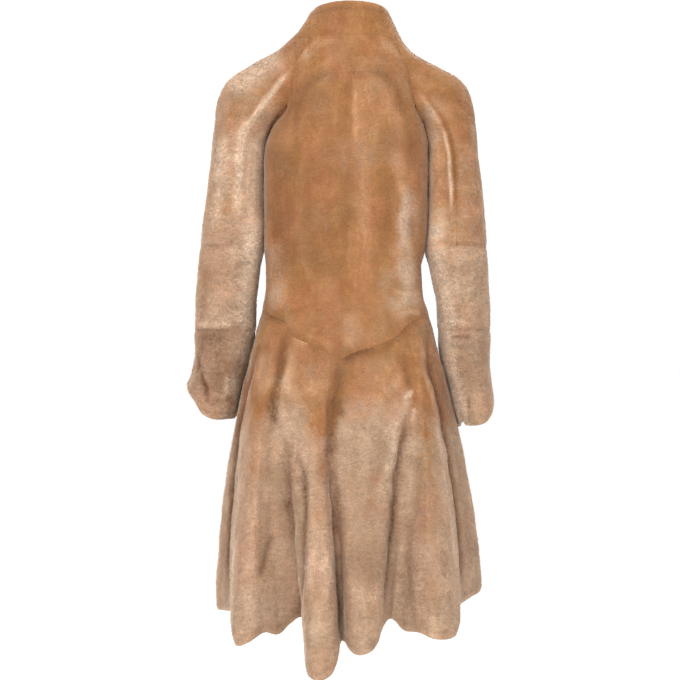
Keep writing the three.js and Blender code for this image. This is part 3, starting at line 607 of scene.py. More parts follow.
# the same kind of marks on the hidden front
frontMarks["bodice"] = (
    ((-40, -60, -62, -130, -70, -200), 12, -1.0, 0.2, 0),
    ((44, -50, 66, -130, 72, -210), 12, -1.2, 0.22, 0),
    ((-110, -160, -104, -240, -92, -330), 14, -1.2, 0.2, 0),
    ((112, -170, 100, -250, 90, -340), 14, -1.0, 0.2, 0),
    ((-70, -330, -30, -350, -6, -356), 12, -1.0, 0.14, 0),
    ((10, -372, 50, -360, 86, -340), 12, -1.1, 0.16, 0),
    ((20, -100, 28, -200, 24, -300), 10, 0.7, -0.25, 0),
    ((-118, -370, -90, -400), 15, 0.6, -0.1, -0.3),
    ((112, -380, 84, -410), 15, 0.6, -0.1, -0.3),
)
frontMarks["skirt"] = (
    ((-6, -445, -8, -600, -2, -890), 7, -1.6, 0.3, 0),
    ((-74, -440, -86, -560, -90, -700, -88, -880), 8, -3.5, 0.45, 0.2),
    ((72, -440, 86, -570, 92, -700, 90, -880), 8, -3.5, 0.45, 0.2),
    ((-136, -430, -160, -560, -176, -700, -180, -880), 8, -3.5, 0.4, 0.4),
    ((134, -430, 152, -560, 172, -700, 182, -880), 8, -3.5, 0.4, 0.4),
    ((-40, -600, -46, -720, -50, -840), 10, 0.8, -0.25, 0),
    ((36, -620, 44, -740, 40, -850), 10, 0.8, -0.25, 0),
    ((-116, -640, -124, -730, -118, -820), 14, 0, 0.1, 0.4),
    ((120, -600, 128, -700, 130, -790), 14, 0, 0.1, 0.4),
)
frontMarks["sleeve"] = (
    ((-96, -30, -128, -68, -158, -116, -180, -190), 6, 1.0, -0.4, 0),
    ((98, -34, 130, -78, 160, -130, 172, -220), 6, 1.0, -0.4, 0),
    ((-140, -170, -172, -240, -190, -270), 10, -1.4, 0.2, 0),
    ((140, -180, 168, -240, 188, -280), 10, -1.4, 0.2, 0),
    ((-150, -340, -180, -358, -226, -350), 9, -1.4, 0.2, 0),
    ((148, -330, 176, -352, 218, -346), 9, -1.4, 0.2, 0),
    ((-160, -390, -190, -402, -220, -396), 9, -1.0, 0.14, 0),
    ((160, -384, 186, -400, 214, -392), 9, -1.0, 0.14, 0),
)
frontMarks["collar"] = (
    ((-50, 66, 0, 70, 54, 66), 9, -0.5, 0.07, 0),
)

# where honey gives way to beige down the skirt, seen from behind and from the front
honeyEdge = {
    "backX": (-200, -160, -137, -118, -100, -84, -68, -52, -40, -28, -12, 12, 52, 84, 100, 108,
              120, 140, 160, 200),
    "backZ": (-610, -604, -596, -556, -560, -574, -600, -618, -622, -624, -596, -584, -576, -566, -562, -596,
              -614, -608, -606, -600),
    "frontX": (-200, -120, -60, 0, 70, 130, 200),
    "frontZ": (-620, -580, -560, -600, -570, -600, -640),
    "fade": 52,
    "behind": (-30, 30),         # the back's line gives way to the front's over these depths
}
# how far the edge between the tones wanders, and over what length
raggedEdge = {"broad": (12, 90), "fine": (5, 30)}
sleeveHoney = {                  # how much of it each sleeve has, level by level
    "leftZ": (40, -20, -70, -120, -200),
    "left": (0.8, 0.6, 0.5, 0.25, 0.1),
    "rightZ": (40, -30, -110, -160, -306, -318, -400),
    "right": (1.0, 0.96, 0.86, 0.62, 0.42, 0.15, 0.1),
    "underSide": (-60, 10),      # the under side has less of it
    "underShare": 0.7,
    "raggedShare": 0.5,
    "seamBlend": (92, 142),      # honey again beside the raglan seams, between these two widths
    "seamRagged": 0.6,
    "seamFade": (-150, -100),    # and above these heights
}


def groupOf(name):
    for start, group in (("skirt", "skirt"), ("sleeve", "sleeve"), ("cuff", "sleeve"), ("collar", "collar")):
        if name.startswith(start):
            return group
    return "bodice"


# relief and tone of the pile

noise = {                    # soft unevenness is a sum of waves; each use has its own seed
    "waves": 14,
    "calm": 4.2,             # the sum is divided by this
    "pace": (0.55, 1.5),     # slowest and fastest wave, as a share of the pace asked for
    "seeds": {"waviness": 3, "tufts": 5, "nubs": 8, "honeyBroad": 11, "honeyFine": 12, "swirl": 21,
              "wanderX": 41, "wanderZ": 42},
}


def softNoise(points, size, seed):       # smooth unevenness from -1 to 1, with features of about that size
    waves = np.random.default_rng(seed)
    total = np.zeros(points.shape[:-1])
    for wave in range(noise["waves"]):
        direction = waves.normal(size=3)
        direction /= np.linalg.norm(direction)
        frequency = 2 * np.pi / size * waves.uniform(*noise["pace"])
        total += np.sin(points @ (direction * frequency) + waves.uniform(0, 2 * np.pi))
    return np.clip(total / noise["calm"], -1, 1)


def cellCross(rows):                     # each cell's normal, as long as twice its area
    return np.cross(rows[1:, 1:] - rows[:-1, :-1], rows[:-1, 1:] - rows[1:, :-1])


def surfaceNormals(rows):
    face = cellCross(rows)
    total = np.zeros_like(rows)
    for r in (0, 1):
        for c in (0, 1):
            total[r:r + face.shape[0], c:c + face.shape[1]] += face
    return unit(total)


def cellAreas(rows):
    return np.linalg.norm(cellCross(rows), axis=-1) / 2


def edgeDistances(rows):                 # to the top, right, bottom and left edge, along the surface
    down = np.linalg.norm(np.diff(rows, axis=0), axis=-1)
    over = np.linalg.norm(np.diff(rows, axis=1), axis=-1)
    fromTop = np.concatenate((np.zeros((1, rows.shape[1])), np.cumsum(down, axis=0)))
    fromLeft = np.concatenate((np.zeros((rows.shape[0], 1)), np.cumsum(over, axis=1)), axis=1)
    return fromTop, fromLeft[:, -1:] - fromLeft, fromTop[-1:] - fromTop, fromLeft


def pathDistance(points, path):          # distance to a path in the plane, and the share of the way along it
    path = np.array(path, float).reshape(-1, 2)
    best = np.full(points.shape[:-1], np.inf)
    share = np.zeros(points.shape[:-1])
    lengths = np.linalg.norm(np.diff(path, axis=0), axis=1)
    whole, done = lengths.sum(), 0.0
    for start, end, length in zip(path[:-1], path[1:], lengths):
        t = np.clip(((points - start) @ (end - start)) / length ** 2, 0, 1)
        distance = np.linalg.norm(points - (start + t[..., None] * (end - start)), axis=-1)
        nearer = distance < best
        best = np.where(nearer, distance, best)
        share = np.where(nearer, (done + t * length) / whole, share)
        done += length
    return best, share


def smoothStep(value, low, high):
    t = np.clip((value - low) / (high - low), 0, 1)
    return t * t * (3 - 2 * t)


# how each seam sinks into the pile: depth, width and darkness. A free edge is rounded over.
# A depth or darkness under nothing is a raised or paler line.
seams = {
    "centreBack": (0.7, 6, 0.07),
    "arch": (0.4, 10, 0.03),
    "princess": (0.5, 10, 0.04),
    "raglan": (0.4, 8, 0.02),
    "armhole": (0.8, 7, 0.1),
    "sleeveSeam": (-0.5, 5, -0.06),
    "join": (1.3, 4, 0.2),
    "waist": (0.7, 8, 0.05),
    "gore": (0.8, 5, 0.08),
    "side": (0.8, 6, 0.1),
    "closure": (1.5, 6, 0.4),
    "neck": (0.3, 9, 0.03),
    "centreCollar": (0.7, 5, 0.08),
    "free": (1.8, 5, 0.0),
}

# how much darker or paler than the rest a panel's pelt is
pelts = {
    "back_centre_left": 0.05, "back_centre_right": -0.03, "skirt_back_left": -0.01, "skirt_back_right": 0.01,
    "sleeve_outer_middle_right": -0.06, "cuff_outer_left": 0.06, "cuff_under_left": 0.02,
    "collar_left": 0.02, "collar_right": -0.03,
}

# the groove that a turned hem leaves behind each free edge
hemRoll = {"at": 12, "width": 4.5, "depth": 0.7, "darkness": 0.12, "paleness": 0.1}

# how marks are laid on the pile
marking = {
    "ragged": 0.16,          # they wander by this share of their width
    "raggedWidest": 20,
    "wanderSize": 60,
    "widthSpread": 0.2,
    "slant": (1.5, 0.35),    # a mark stays narrow where the coat turns away: how soon, and how far
    "taper": (-0.04, 0.2),
    "facing": (-0.12, 0.3),  # it fades where the panel turns from the side it was seen from
}


def reliefOf(name, rows, normals):       # height in millimetres, darkness (painted shade and highlight as well as the pile's own tone) and honey shift at each point
    seeds, group = noise["seeds"], groupOf(name)
    height = pelt["waviness"] * softNoise(rows, pelt["wavinessSize"], seeds["waviness"])
    height += pelt["tuftiness"] * softNoise(rows, pelt["tuftSize"], seeds["tufts"])
    dark, honey = np.full(rows.shape[:-1], pelts.get(name, 0.0)), np.zeros(rows.shape[:-1])
    for edge, distance in zip(panels[name]["edges"], edgeDistances(rows)):
        depth, width, shade = seams[edge]
        bell = np.exp(-(distance / width) ** 2)
        height -= depth * bell
        dark += shade * bell
        if edge == "free":
            groove = np.exp(-((distance - hemRoll["at"]) / hemRoll["width"]) ** 2)
            height -= hemRoll["depth"] * groove
            dark += hemRoll["darkness"] * groove - hemRoll["paleness"] * bell
    # painted light: where a sleeve faces the body its pile is painted paler, lifting the shade between sleeve
    # and body
    if group == "sleeve":
        inward = smoothStep(-np.sign(rows[..., 0]) * normals[..., 0], *pelt["innerFacing"])
        dark -= pelt["innerPaintedLight"] * inward * smoothStep(-rows[..., 2], *pelt["innerDrop"])
    flat = rows[..., [0, 2]]
    wander = np.stack([softNoise(rows, marking["wanderSize"], seeds[key]) for key in ("wanderX", "wanderZ")],
                      axis=-1)
    gain, least = marking["slant"]
    slant = np.clip(gain * np.abs(normals[..., 1]), least, 1)
    for face, marks in ((back, backMarks), (front, frontMarks)):
        facing = smoothStep(face * normals[..., 1], *marking["facing"])
        if not facing.any():
            continue
        for path, width, depth, shade, shift in marks[group]:
            strayed = flat + marking["ragged"] * min(width, marking["raggedWidest"]) * wander
            distance, share = pathDistance(strayed, path)
            taper = smoothStep(share, *marking["taper"]) * smoothStep(1 - share, *marking["taper"])
            reach = width * slant * (1 + marking["widthSpread"] * wander[..., 0])
            bell = np.exp(-(distance / reach) ** 2) * taper * facing
            height += depth * bell
            dark += shade * bell
            honey += shift * bell
    return height, np.clip(dark, -1, 1), honey


def honeyAt(name, points):               # 1 is honey tan and 0 is beige
    x, y, z = points[..., 0], points[..., 1], points[..., 2]
    (broad, broadSize), (fine, fineSize) = raggedEdge["broad"], raggedEdge["fine"]
    ragged = (broad * softNoise(points, broadSize, noise["seeds"]["honeyBroad"])
              + fine * softNoise(points, fineSize, noise["seeds"]["honeyFine"]))
    if groupOf(name) == "sleeve":
        side = "left" if name.endswith("left") else "right"
        level = z + sleeveHoney["raggedShare"] * ragged
        honey = curveThrough(sleeveHoney[side + "Z"], sleeveHoney[side], level)
        honey = honey * mix(sleeveHoney["underShare"], 1, smoothStep(-y, *sleeveHoney["underSide"]))
        near, far = sleeveHoney["seamBlend"]
        beside = smoothStep(-np.abs(x) + sleeveHoney["seamRagged"] * ragged, -far, -near)
        return np.maximum(honey, beside * smoothStep(z, *sleeveHoney["seamFade"]))
    behind = smoothStep(-y, *honeyEdge["behind"])
    edgeZ = mix(np.interp(x, honeyEdge["frontX"], honeyEdge["frontZ"]),
                np.interp(x, honeyEdge["backX"], honeyEdge["backZ"]), behind)
    return smoothStep(z + ragged, edgeZ - honeyEdge["fade"] / 2, edgeZ + honeyEdge["fade"])


# the normals of neighbouring panels are made one where their edges lie this near each other,
# and that fades out over a width
seamNormals = {"reach": 5, "outerReach": 6, "rounds": 8, "width": 9}


def shareEdges(grids, normals, reach):   # panels that meet at a seam get one normal along it
    points, owners, directions, border = [], [], [], {}
    for number, (name, grid) in enumerate(grids.items()):
        mask = np.zeros(grid.shape[:2], bool)
        mask[[0, -1]] = True
        mask[:, [0, -1]] = True
        border[name] = mask
        points.append(grid[mask])
        directions.append(normals[name][mask])
        owners.append(np.full(mask.sum(), number))
    points, directions, owners = map(np.concatenate, (points, directions, owners))
    tree = KDTree(len(points))
    for i, point in enumerate(points):
        tree.insert(point, i)
    tree.balance()
    for number, (name, grid) in enumerate(grids.items()):
        mask = border[name]
        own = normals[name][mask]
        shared = own.copy()
        for i, point in enumerate(grid[mask]):
            nearest = {}
            for place, k, distance in tree.find_range(point, reach):
                if owners[k] != number and owners[k] not in nearest:
                    nearest[owners[k]] = directions[k]
            for direction in nearest.values():
                shared[i] += direction
        smooth = normals[name].copy()
        smooth[mask] = unit(shared)
        fixed = smooth.copy()
        for step in range(seamNormals["rounds"]):
            above, below = smooth[:-2, 1:-1], smooth[2:, 1:-1]
            smooth[1:-1, 1:-1] = (above + below + smooth[1:-1, :-2] + smooth[1:-1, 2:]) / 4
            smooth[mask] = fixed[mask]
        near = np.exp(-(np.min(edgeDistances(grid), axis=0) / seamNormals["width"]) ** 2)[..., None]
        normals[name] = unit(mix(normals[name], smooth, near))


# meshes


def meshFrom(name, points, faces, values, normals):
    mesh = bpy.data.meshes.new(name)
    mesh.vertices.add(len(points))
    mesh.vertices.foreach_set("co", (points * mm).astype(np.float32).ravel())
    sides = faces.shape[1]
    mesh.loops.add(faces.size)
    mesh.loops.foreach_set("vertex_index", faces.astype(np.int32).ravel())
    mesh.polygons.add(len(faces))
    mesh.polygons.foreach_set("loop_start", np.arange(0, faces.size, sides, dtype=np.int32))
    mesh.update(calc_edges=True)
    mesh.validate()
    mesh.shade_smooth()
    for key, numbers in values.items():
        layer = mesh.attributes.new(key, "FLOAT", "POINT")
        layer.data.foreach_set("value", np.ascontiguousarray(numbers, np.float32).ravel())
    mesh.normals_split_custom_set_from_vertices(normals.astype(np.float32))
    piece = bpy.data.objects.new(name, mesh)
    bpy.context.scene.collection.objects.link(piece)
    return piece


def gridFaces(rowCount, columnCount, first=0):
    index = first + np.arange(rowCount * columnCount).reshape(rowCount, columnCount)
    return np.stack((index[:-1, :-1], index[1:, :-1], index[1:, 1:], index[:-1, 1:]), axis=-1).reshape(-1, 4)


def peltShell(name, outer, inner, outerNormals, values):   # two faces joined all round
    rowCount, columnCount = outer.shape[:2]
    count = rowCount * columnCount
    index = np.arange(count).reshape(rowCount, columnCount)
    rim = np.concatenate((index[0, :], index[1:, -1], index[-1, -2::-1], index[-2:0:-1, 0]))
    after = np.roll(rim, -1)
    faces = np.concatenate((
        gridFaces(rowCount, columnCount),
        gridFaces(rowCount, columnCount, count)[:, ::-1],
        np.stack((rim, after, after + count, rim + count), axis=-1),
    ))
    points = np.concatenate((outer.reshape(-1, 3), inner.reshape(-1, 3)))
    inside = np.concatenate((np.zeros(count), np.ones(count)))
    both = {key: np.concatenate((numbers.ravel(), numbers.ravel())) for key, numbers in values.items()}
    normals = np.concatenate((outerNormals.reshape(-1, 3), -surfaceNormals(inner).reshape(-1, 3)))
    piece = meshFrom(name, points, faces, {**both, "inside": inside}, normals)
    materialIndex = np.zeros(len(faces), np.int32)
    materialIndex[-len(rim) - (rowCount - 1) * (columnCount - 1):-len(rim)] = 1     # the suede side
    piece.data.polygons.foreach_set("material_index", materialIndex)
    return piece


# where a sleeve and the body lie against each other, below the underarm and above the waist
closeRange = {"beyondX": 90, "facing": (0.5, 0.88), "drop": (80, 115), "untilZ": (-345, -305)}


def closeness(name, points, normals):    # 1 there and 0 elsewhere
    group, z = groupOf(name), points[..., 2]
    inward = np.sign(points[..., 0]) * normals[..., 0] * (-1 if group == "sleeve" else 1)
    level = smoothStep(-z, *closeRange["drop"]) * smoothStep(z, *closeRange["untilZ"])
    beside = (np.abs(points[..., 0]) > closeRange["beyondX"]) & (group in ("sleeve", "bodice"))
    return smoothStep(inward, *closeRange["facing"]) * level * beside


def at(grid, r, c, a, b):                # a grid's value at places inside its cells
    if grid.ndim == 3:
        a, b = a[:, None], b[:, None]
    return ((1 - a) * (1 - b) * grid[r, c] + a * (1 - b) * grid[r + 1, c]
            + (1 - a) * b * grid[r, c + 1] + a * b * grid[r + 1, c + 1])


def freeDistance(name, rows):            # how far each point is from a hem or other free edge
    edges = zip(panels[name]["edges"], edgeDistances(rows))
    far = np.full(rows.shape[:-1], farAway)
    return np.min([distance for edge, distance in edges if edge == "free"] + [far], axis=0)


pile = {
    "density": 0.165,        # locks on a square millimetre
    "hiddenShare": 0.4,      # of them where the sleeve lies against the body
    "honeyLength": 3.6,
    "beigeLength": 5.0,
    "lengthSpread": 0.2,
    "lengthRange": (0.5, 1.6),
    "halfWidth": 0.95,
    "widthRange": (0.75, 1.25),
    "flatness": 0.55,
    "lean": 70,              # degrees from upright, along the nap
    "leanSpread": 8,
    "swirl": 20,             # degrees that brushed patches turn the nap
    "swirlSize": 80,
    "honeyStray": 9,         # and by how much single locks stray from it
    "beigeStray": 18,
    "sunk": 0.7,             # how deep a lock starts in the hide
    "hemTrim": 9,            # locks are trimmed short this near a hem
    "trimmed": 0.3,          # down to this share
    "corners": (90, 210, 330),    # of a lock's foot: one up the slope, two beside it
    "softness": 0.72,        # share of the coat's own form in how a lock catches the light
    "aside": 0.001,          # gives the nap a way to lie where the pelt is level
    "seed": 7,
}
rng = np.random.default_rng(pile["seed"])


def pileLocks(name, surface, normals, values):   # short leaning locks all over a panel
    rows, columns = surface.shape[0] - 1, surface.shape[1] - 1
    against = closeness(name, surface[:-1, :-1], normals[:-1, :-1])
    wanted = pile["density"] * cellAreas(surface) * mix(1, pile["hiddenShare"], against)
    number = np.floor(wanted + rng.random(wanted.shape)).astype(int).ravel()
    cell = np.repeat(np.arange(rows * columns), number)
    count = len(cell)
    r, c = cell // columns, cell % columns
    a, b = rng.random(count), rng.random(count)
    root, normal = at(surface, r, c, a, b), unit(at(normals, r, c, a, b))
    down = np.array((0, 0, -1.0)) - normal * -normal[:, 2:]
    nap = unit(down + pile["aside"])
    honey = at(values["honey"], r, c, a, b)
    stray = mix(pile["beigeStray"], pile["honeyStray"], honey)
    swirl = pile["swirl"] * softNoise(root, pile["swirlSize"], noise["seeds"]["swirl"])
    brush = np.radians(swirl + stray * rng.normal(size=count))[:, None]
    side = np.cross(normal, nap)
    nap = np.cos(brush) * nap + np.sin(brush) * side
    side = np.cross(normal, nap)
    lean = np.radians(pile["lean"] + pile["leanSpread"] * rng.normal(size=count))[:, None]
    along = np.cos(lean) * normal + np.sin(lean) * nap
    up = np.cross(along, side)
    up *= np.sign(np.sum(up * normal, axis=1, keepdims=True))
    length = mix(pile["beigeLength"], pile["honeyLength"], honey)
    length *= (1 + pile["lengthSpread"] * rng.normal(size=count)).clip(*pile["lengthRange"])
    length *= np.clip(at(freeDistance(name, surface), r, c, a, b) / pile["hemTrim"], pile["trimmed"], 1)
    base = root - along * pile["sunk"]
    width = pile["halfWidth"] * rng.uniform(*pile["widthRange"], count)
    corners = []
    for angle in pile["corners"]:
        turn = math.radians(angle)
        away = math.cos(turn) * side + pile["flatness"] * math.sin(turn) * up
        corners.append(base + width[:, None] * away)
    tip = base + along * length[:, None]
    points = np.stack((*corners, tip), axis=1).reshape(-1, 3)
    first = 4 * np.arange(count)[:, None]
    faces = (first[:, :, None] + np.array(((0, 1, 3), (1, 2, 3), (2, 0, 3)))).reshape(-1, 3)
    outwards = np.cross(corners[1] - corners[0], tip - corners[0])
    turnedIn = np.sum(outwards * (corners[0] + corners[1] - 2 * base), axis=1) < 0
    flip = np.repeat(turnedIn, 3)
    faces[flip] = faces[flip][:, ::-1]
    locks = {key: np.repeat(at(numbers, r, c, a, b), 4) for key, numbers in values.items()}
    locks["strand"] = np.repeat(rng.random(count), 4)
    locks["tip"] = np.tile((0.0, 0.0, 0.0, 1.0), count)
    own = np.stack([unit(corner - base) for corner in corners] + [along], axis=1)
    soft = unit(mix(own, normal[:, None], pile["softness"])).reshape(-1, 3)
    return meshFrom("pile_" + name, points, faces, locks, soft)


# materials

colours = {
    "honey": (0.272, 0.103, 0.034),
    "honeyOlive": (0.250, 0.108, 0.031),
    # the pale colours serve both paler patches of pile and painted highlight on ridges and edges
    "honeyPaleAndHighlight": (0.50, 0.28, 0.15),
    "beige": (0.400, 0.236, 0.146),
    "beigeGrey": (0.365, 0.236, 0.146),
    "beigePaleAndHighlight": (0.62, 0.455, 0.33),
    # painted shade: the near-black colour that creases are painted with
    "paintedCreaseShade": (0.075, 0.026, 0.010),
    "suede": (0.38, 0.235, 0.135),
}


class NodeBook:                          # short words for wiring a material
    def __init__(self, name):
        self.material = bpy.data.materials.new(name)
        self.material.use_nodes = True
        self.tree = self.material.node_tree
        self.shader = self.tree.nodes["Principled BSDF"]

    def add(self, kind, **sockets):
        node = self.tree.nodes.new(kind)
        for key, value in sockets.items():
            if key in node.inputs:
                self.put(value, node.inputs[key])
            else:
                setattr(node, key, value)
        return node

    def put(self, value, socket):
        if isinstance(value, bpy.types.NodeSocket):
            self.tree.links.new(value, socket)
        else:
            socket.default_value = value

    def attribute(self, name):
        return self.add("ShaderNodeAttribute", attribute_name=name).outputs["Fac"]

    def math(self, operation, a, b=0.0, clamp=False):
        node = self.add("ShaderNodeMath", operation=operation, use_clamp=clamp)
        self.put(a, node.inputs[0])
        self.put(b, node.inputs[1])
        return node.outputs[0]

    def plus(self, first, *others, clamp=False):
        for other in others:
            first = self.math("ADD", first, other, clamp)
        return first

    def times(self, first, *others, clamp=False):
        for other in others:
            first = self.math("MULTIPLY", first, other, clamp)
        return first

    def blend(self, share, a, b):
        node = self.add("ShaderNodeMix", data_type="RGBA")
        self.put(share, node.inputs["Factor"])
        for value, socket in ((a, node.inputs[6]), (b, node.inputs[7])):
            self.put((*value, 1) if isinstance(value, tuple) and len(value) == 3 else value, socket)
        return node.outputs[2]

    def noise(self, place, size, detail=2.0, roughness=0.5, distortion=0.0):
        node = self.add("ShaderNodeTexNoise", Vector=place, Scale=1 / (size * mm), Detail=detail,
                        Roughness=roughness, Distortion=distortion)
        return node.outputs["Fac"]

    def stretched(self, place, scale):
        node = self.add("ShaderNodeMapping", vector_type="POINT")
        self.put(place, node.inputs["Vector"])
        node.inputs["Scale"].default_value = scale
        return node.outputs[0]

    def range(self, value, low, high, outLow=0.0, outHigh=1.0):
        node = self.add("ShaderNodeMapRange")
        names = ("Value", "From Min", "From Max", "To Min", "To Max")
        for key, number in zip(names, (value, low, high, outLow, outHigh)):
            self.put(number, node.inputs[key])
        return node.outputs[0]

    def swing(self, layer, low, amount, middle=0.0):     # an even layer spread this far to both sides
        return self.range(layer, low, 1 - low, middle - amount, middle + amount)

    def constants(self, **sockets):
        for key, value in sockets.items():
            self.shader.inputs[shaderSockets[key]].default_value = value


shaderSockets = {"roughness": "Roughness", "specular": "Specular IOR Level", "sheen": "Sheen Weight",
                 "sheenRoughness": "Sheen Roughness", "sheenTint": "Sheen Tint"}

# layers of unevenness in the pile: which way they are stretched, size in millimetres, detail,
# roughness and distortion
layers = {
    "clouds": ("even", 70, 2, 0.5, 0.2),
    "blotches": ("brushed", 26, 2, 0.5, 0.15),
    "streaks": ("nap", 8, 3, 0.6),
    "curls": ("even", 4.6, 3, 0.6, 0.9),
    "fibres": ("nap", 1.7, 2, 0.6),
    "flecks": ("nap", 2.6, 2, 0.55),
    "hue": ("brushed", 44, 2, 0.5, 0.2),
    "puckers": ("wide", 7.5, 2, 0.55, 1.2),
}
pileTone = {
    "nap": (1, 1, 0.4),                      # scale of the layers that run down the nap
    "wide": (0.5, 0.5, 1.2),
    # a layer counts from this value up to one minus it
    "low": {"drift": 0.3, "meeting": 0.35, "broad": 0.25, "fine": 0.3, "mark": 0.3},
    "drift": 0.2,                            # streaks shift the share of honey by this
    "cloudDrift": (-0.16, 0.2),
    "meeting": (("curls", 0.32), ("fibres", 0.2), ("puckers", 0.1)),     # the two tones meet in flecks
    "hue": (0.36, 0.64),
    "curlsInHoney": 0.25,                    # share of the curls that still shows in honey pile
    "puckersInHoney": 0.4,
    "flecks": (0.56, 0.72),
    "valley": (0.47, 0.022),                 # where the puckers' layer has a line, and how wide it is
    "valleyPatches": (0.4, 0.62),
    "tip": 1.06,
    "markStreaks": 0.3,                      # how uneven a mark is
    "markCurls": 0.35,
    "palePatch": (0.4, 0.8),
    "paleStreak": (0.45, 0.8),
    "puckerRelief": 3.0,
    "bumpDepth": 0.0009,
    "specular": 0.25,
    "sheenRoughness": 0.35,
    "sheenTint": (1.0, 0.86, 0.72, 1),
}


def pileMaterial(name, settings):
    book = NodeBook(name)
    place = book.add("ShaderNodeTexCoord").outputs["Object"]
    ways = {"even": place, "nap": book.stretched(place, pileTone["nap"]),
            "wide": book.stretched(place, pileTone["wide"]),
            "brushed": book.stretched(place, settings["brushed"])}
    layer = {key: book.noise(ways[way], *numbers) for key, (way, *numbers) in layers.items()}
    curls, streaks, fibres, puckers = (layer[key] for key in ("curls", "streaks", "fibres", "puckers"))

    # share of honey, and how far it is between the two tones
    plain = book.attribute("honey")
    between = book.times(book.times(plain, 4.0), book.math("SUBTRACT", 1.0, plain), clamp=True)
    low = pileTone["low"]
    drift = book.plus(book.swing(streaks, low["drift"], pileTone["drift"]),
                      book.range(layer["clouds"], low["drift"], 1 - low["drift"], *pileTone["cloudDrift"]))
    for key, amount in pileTone["meeting"]:
        drift = book.plus(drift, book.times(between, book.swing(layer[key], low["meeting"], amount)))
    honey = book.plus(plain, drift, clamp=True)
    beige = book.math("SUBTRACT", 1.0, honey, clamp=True)
    hue = book.range(layer["hue"], *pileTone["hue"])
    base = book.blend(honey, book.blend(hue, colours["beige"], colours["beigeGrey"]),
                      book.blend(hue, colours["honey"], colours["honeyOlive"]))
    # the pale colours, for paler patches of pile and for painted highlight
    light = book.blend(honey, colours["beigePaleAndHighlight"], colours["honeyPaleAndHighlight"])

    tone = 1.0                           # each layer of unevenness lightens and darkens the pile
    for key in ("clouds", "blotches", "streaks", "fibres"):
        tone = book.plus(tone, book.swing(layer[key], low["broad"], settings[key]))
    for key in ("curls", "puckers"):
        shown = book.range(beige, 0, 1, pileTone[key + "InHoney"], 1)
        tone = book.plus(tone, book.times(book.swing(layer[key], low["fine"], settings[key]), shown))
    level, width = pileTone["valley"]
    valleys = book.range(book.math("ABSOLUTE", book.math("SUBTRACT", puckers, level)), 0.0, width, 1.0, 0.0)
    valleys = book.times(valleys, book.range(layer["blotches"], *pileTone["valleyPatches"]))
    flecks = book.times(book.range(layer["flecks"], *pileTone["flecks"]), beige)
    tone = book.math("SUBTRACT", tone, book.times(valleys, settings["valleys"]))
    tone = book.math("SUBTRACT", tone, book.times(flecks, settings["flecks"]))
    strand = book.range(book.attribute("strand"), 0, 1, 1 - settings["strand"], 1 + settings["strand"])
    # painted shade: each lock darkens towards its root, and the hide between the locks takes the root's shade
    root = book.range(book.attribute("tip"), 0, 1, settings["rootShade"], pileTone["tip"])
    tone = book.times(tone, strand, root)

    # brushed marks in the pile, with painted shade in creases and painted highlight on ridges and fold edges
    mottle = book.times(book.swing(streaks, low["mark"], pileTone["markStreaks"], 1.0),
                        book.swing(curls, low["mark"], pileTone["markCurls"], 1.0))
    mark = book.times(book.attribute("dark"), mottle)
    palePatch = book.times(book.range(layer["blotches"], *pileTone["palePatch"]), settings["palePatch"])
    paleStreak = book.times(book.range(streaks, *pileTone["paleStreak"]), settings["paleStreak"])
    # the pale side of the marks: painted highlight on ridges and fold edges as well as paler brushed pile
    paleToneAndHighlight = book.times(mark, -settings["paleToneAndHighlight"], clamp=True)
    pale = book.plus(book.plus(palePatch, paleStreak), paleToneAndHighlight, clamp=True)
    toned = book.add("ShaderNodeVectorMath", operation="SCALE")
    book.put(book.blend(pale, base, light), toned.inputs[0])
    book.put(tone, toned.inputs["Scale"])
    # painted shade: the marks' darkness blends the colour towards the near-black crease colour
    paintedShade = book.times(mark, settings["creaseShade"], clamp=True)
    book.put(book.blend(paintedShade, toned.outputs[0], colours["paintedCreaseShade"]), book.shader.inputs["Base Color"])

    relief = book.plus(fibres, book.times(puckers, pileTone["puckerRelief"]))
    bump = book.add("ShaderNodeBump", Strength=settings["bump"], Distance=pileTone["bumpDepth"],
                    Height=relief)
    book.put(bump.outputs[0], book.shader.inputs["Normal"])
    book.constants(roughness=settings["roughness"], sheen=settings["sheen"],
                   **{key: pileTone[key] for key in ("specular", "sheenRoughness", "sheenTint")})
    return book.material


suede = {
    "nap": (1.6, 4, 0.6),        # size in millimetres, detail and roughness
    "clouds": (70, 3, 0.5),
    "napRange": (0.4, 0.65),
    "cloudRange": (0.35, 0.65),
    "shade": 0.78,
    "napShade": 0.25,
    "bump": 0.35,
    "bumpDepth": 0.0004,
    "roughness": 0.92,
    "sheen": 0.15,
    "sheenRoughness": 0.5,
}


def suedeMaterial():
    book = NodeBook("suede_side")
    place = book.add("ShaderNodeTexCoord").outputs["Object"]
    nap = book.noise(place, *suede["nap"])
    clouds = book.noise(place, *suede["clouds"])
    darker = tuple(suede["shade"] * value for value in colours["suede"])
    colour = book.blend(book.range(clouds, *suede["cloudRange"]), darker, colours["suede"])
    colour = book.blend(book.range(nap, *suede["napRange"], 0, suede["napShade"]), colour, darker)
    bump = book.add("ShaderNodeBump", Strength=suede["bump"], Distance=suede["bumpDepth"], Height=nap)
    book.put(colour, book.shader.inputs["Base Color"])
    book.put(bump.outputs[0], book.shader.inputs["Normal"])
    book.constants(**{key: suede[key] for key in ("roughness", "sheen", "sheenRoughness")})
    return book.material


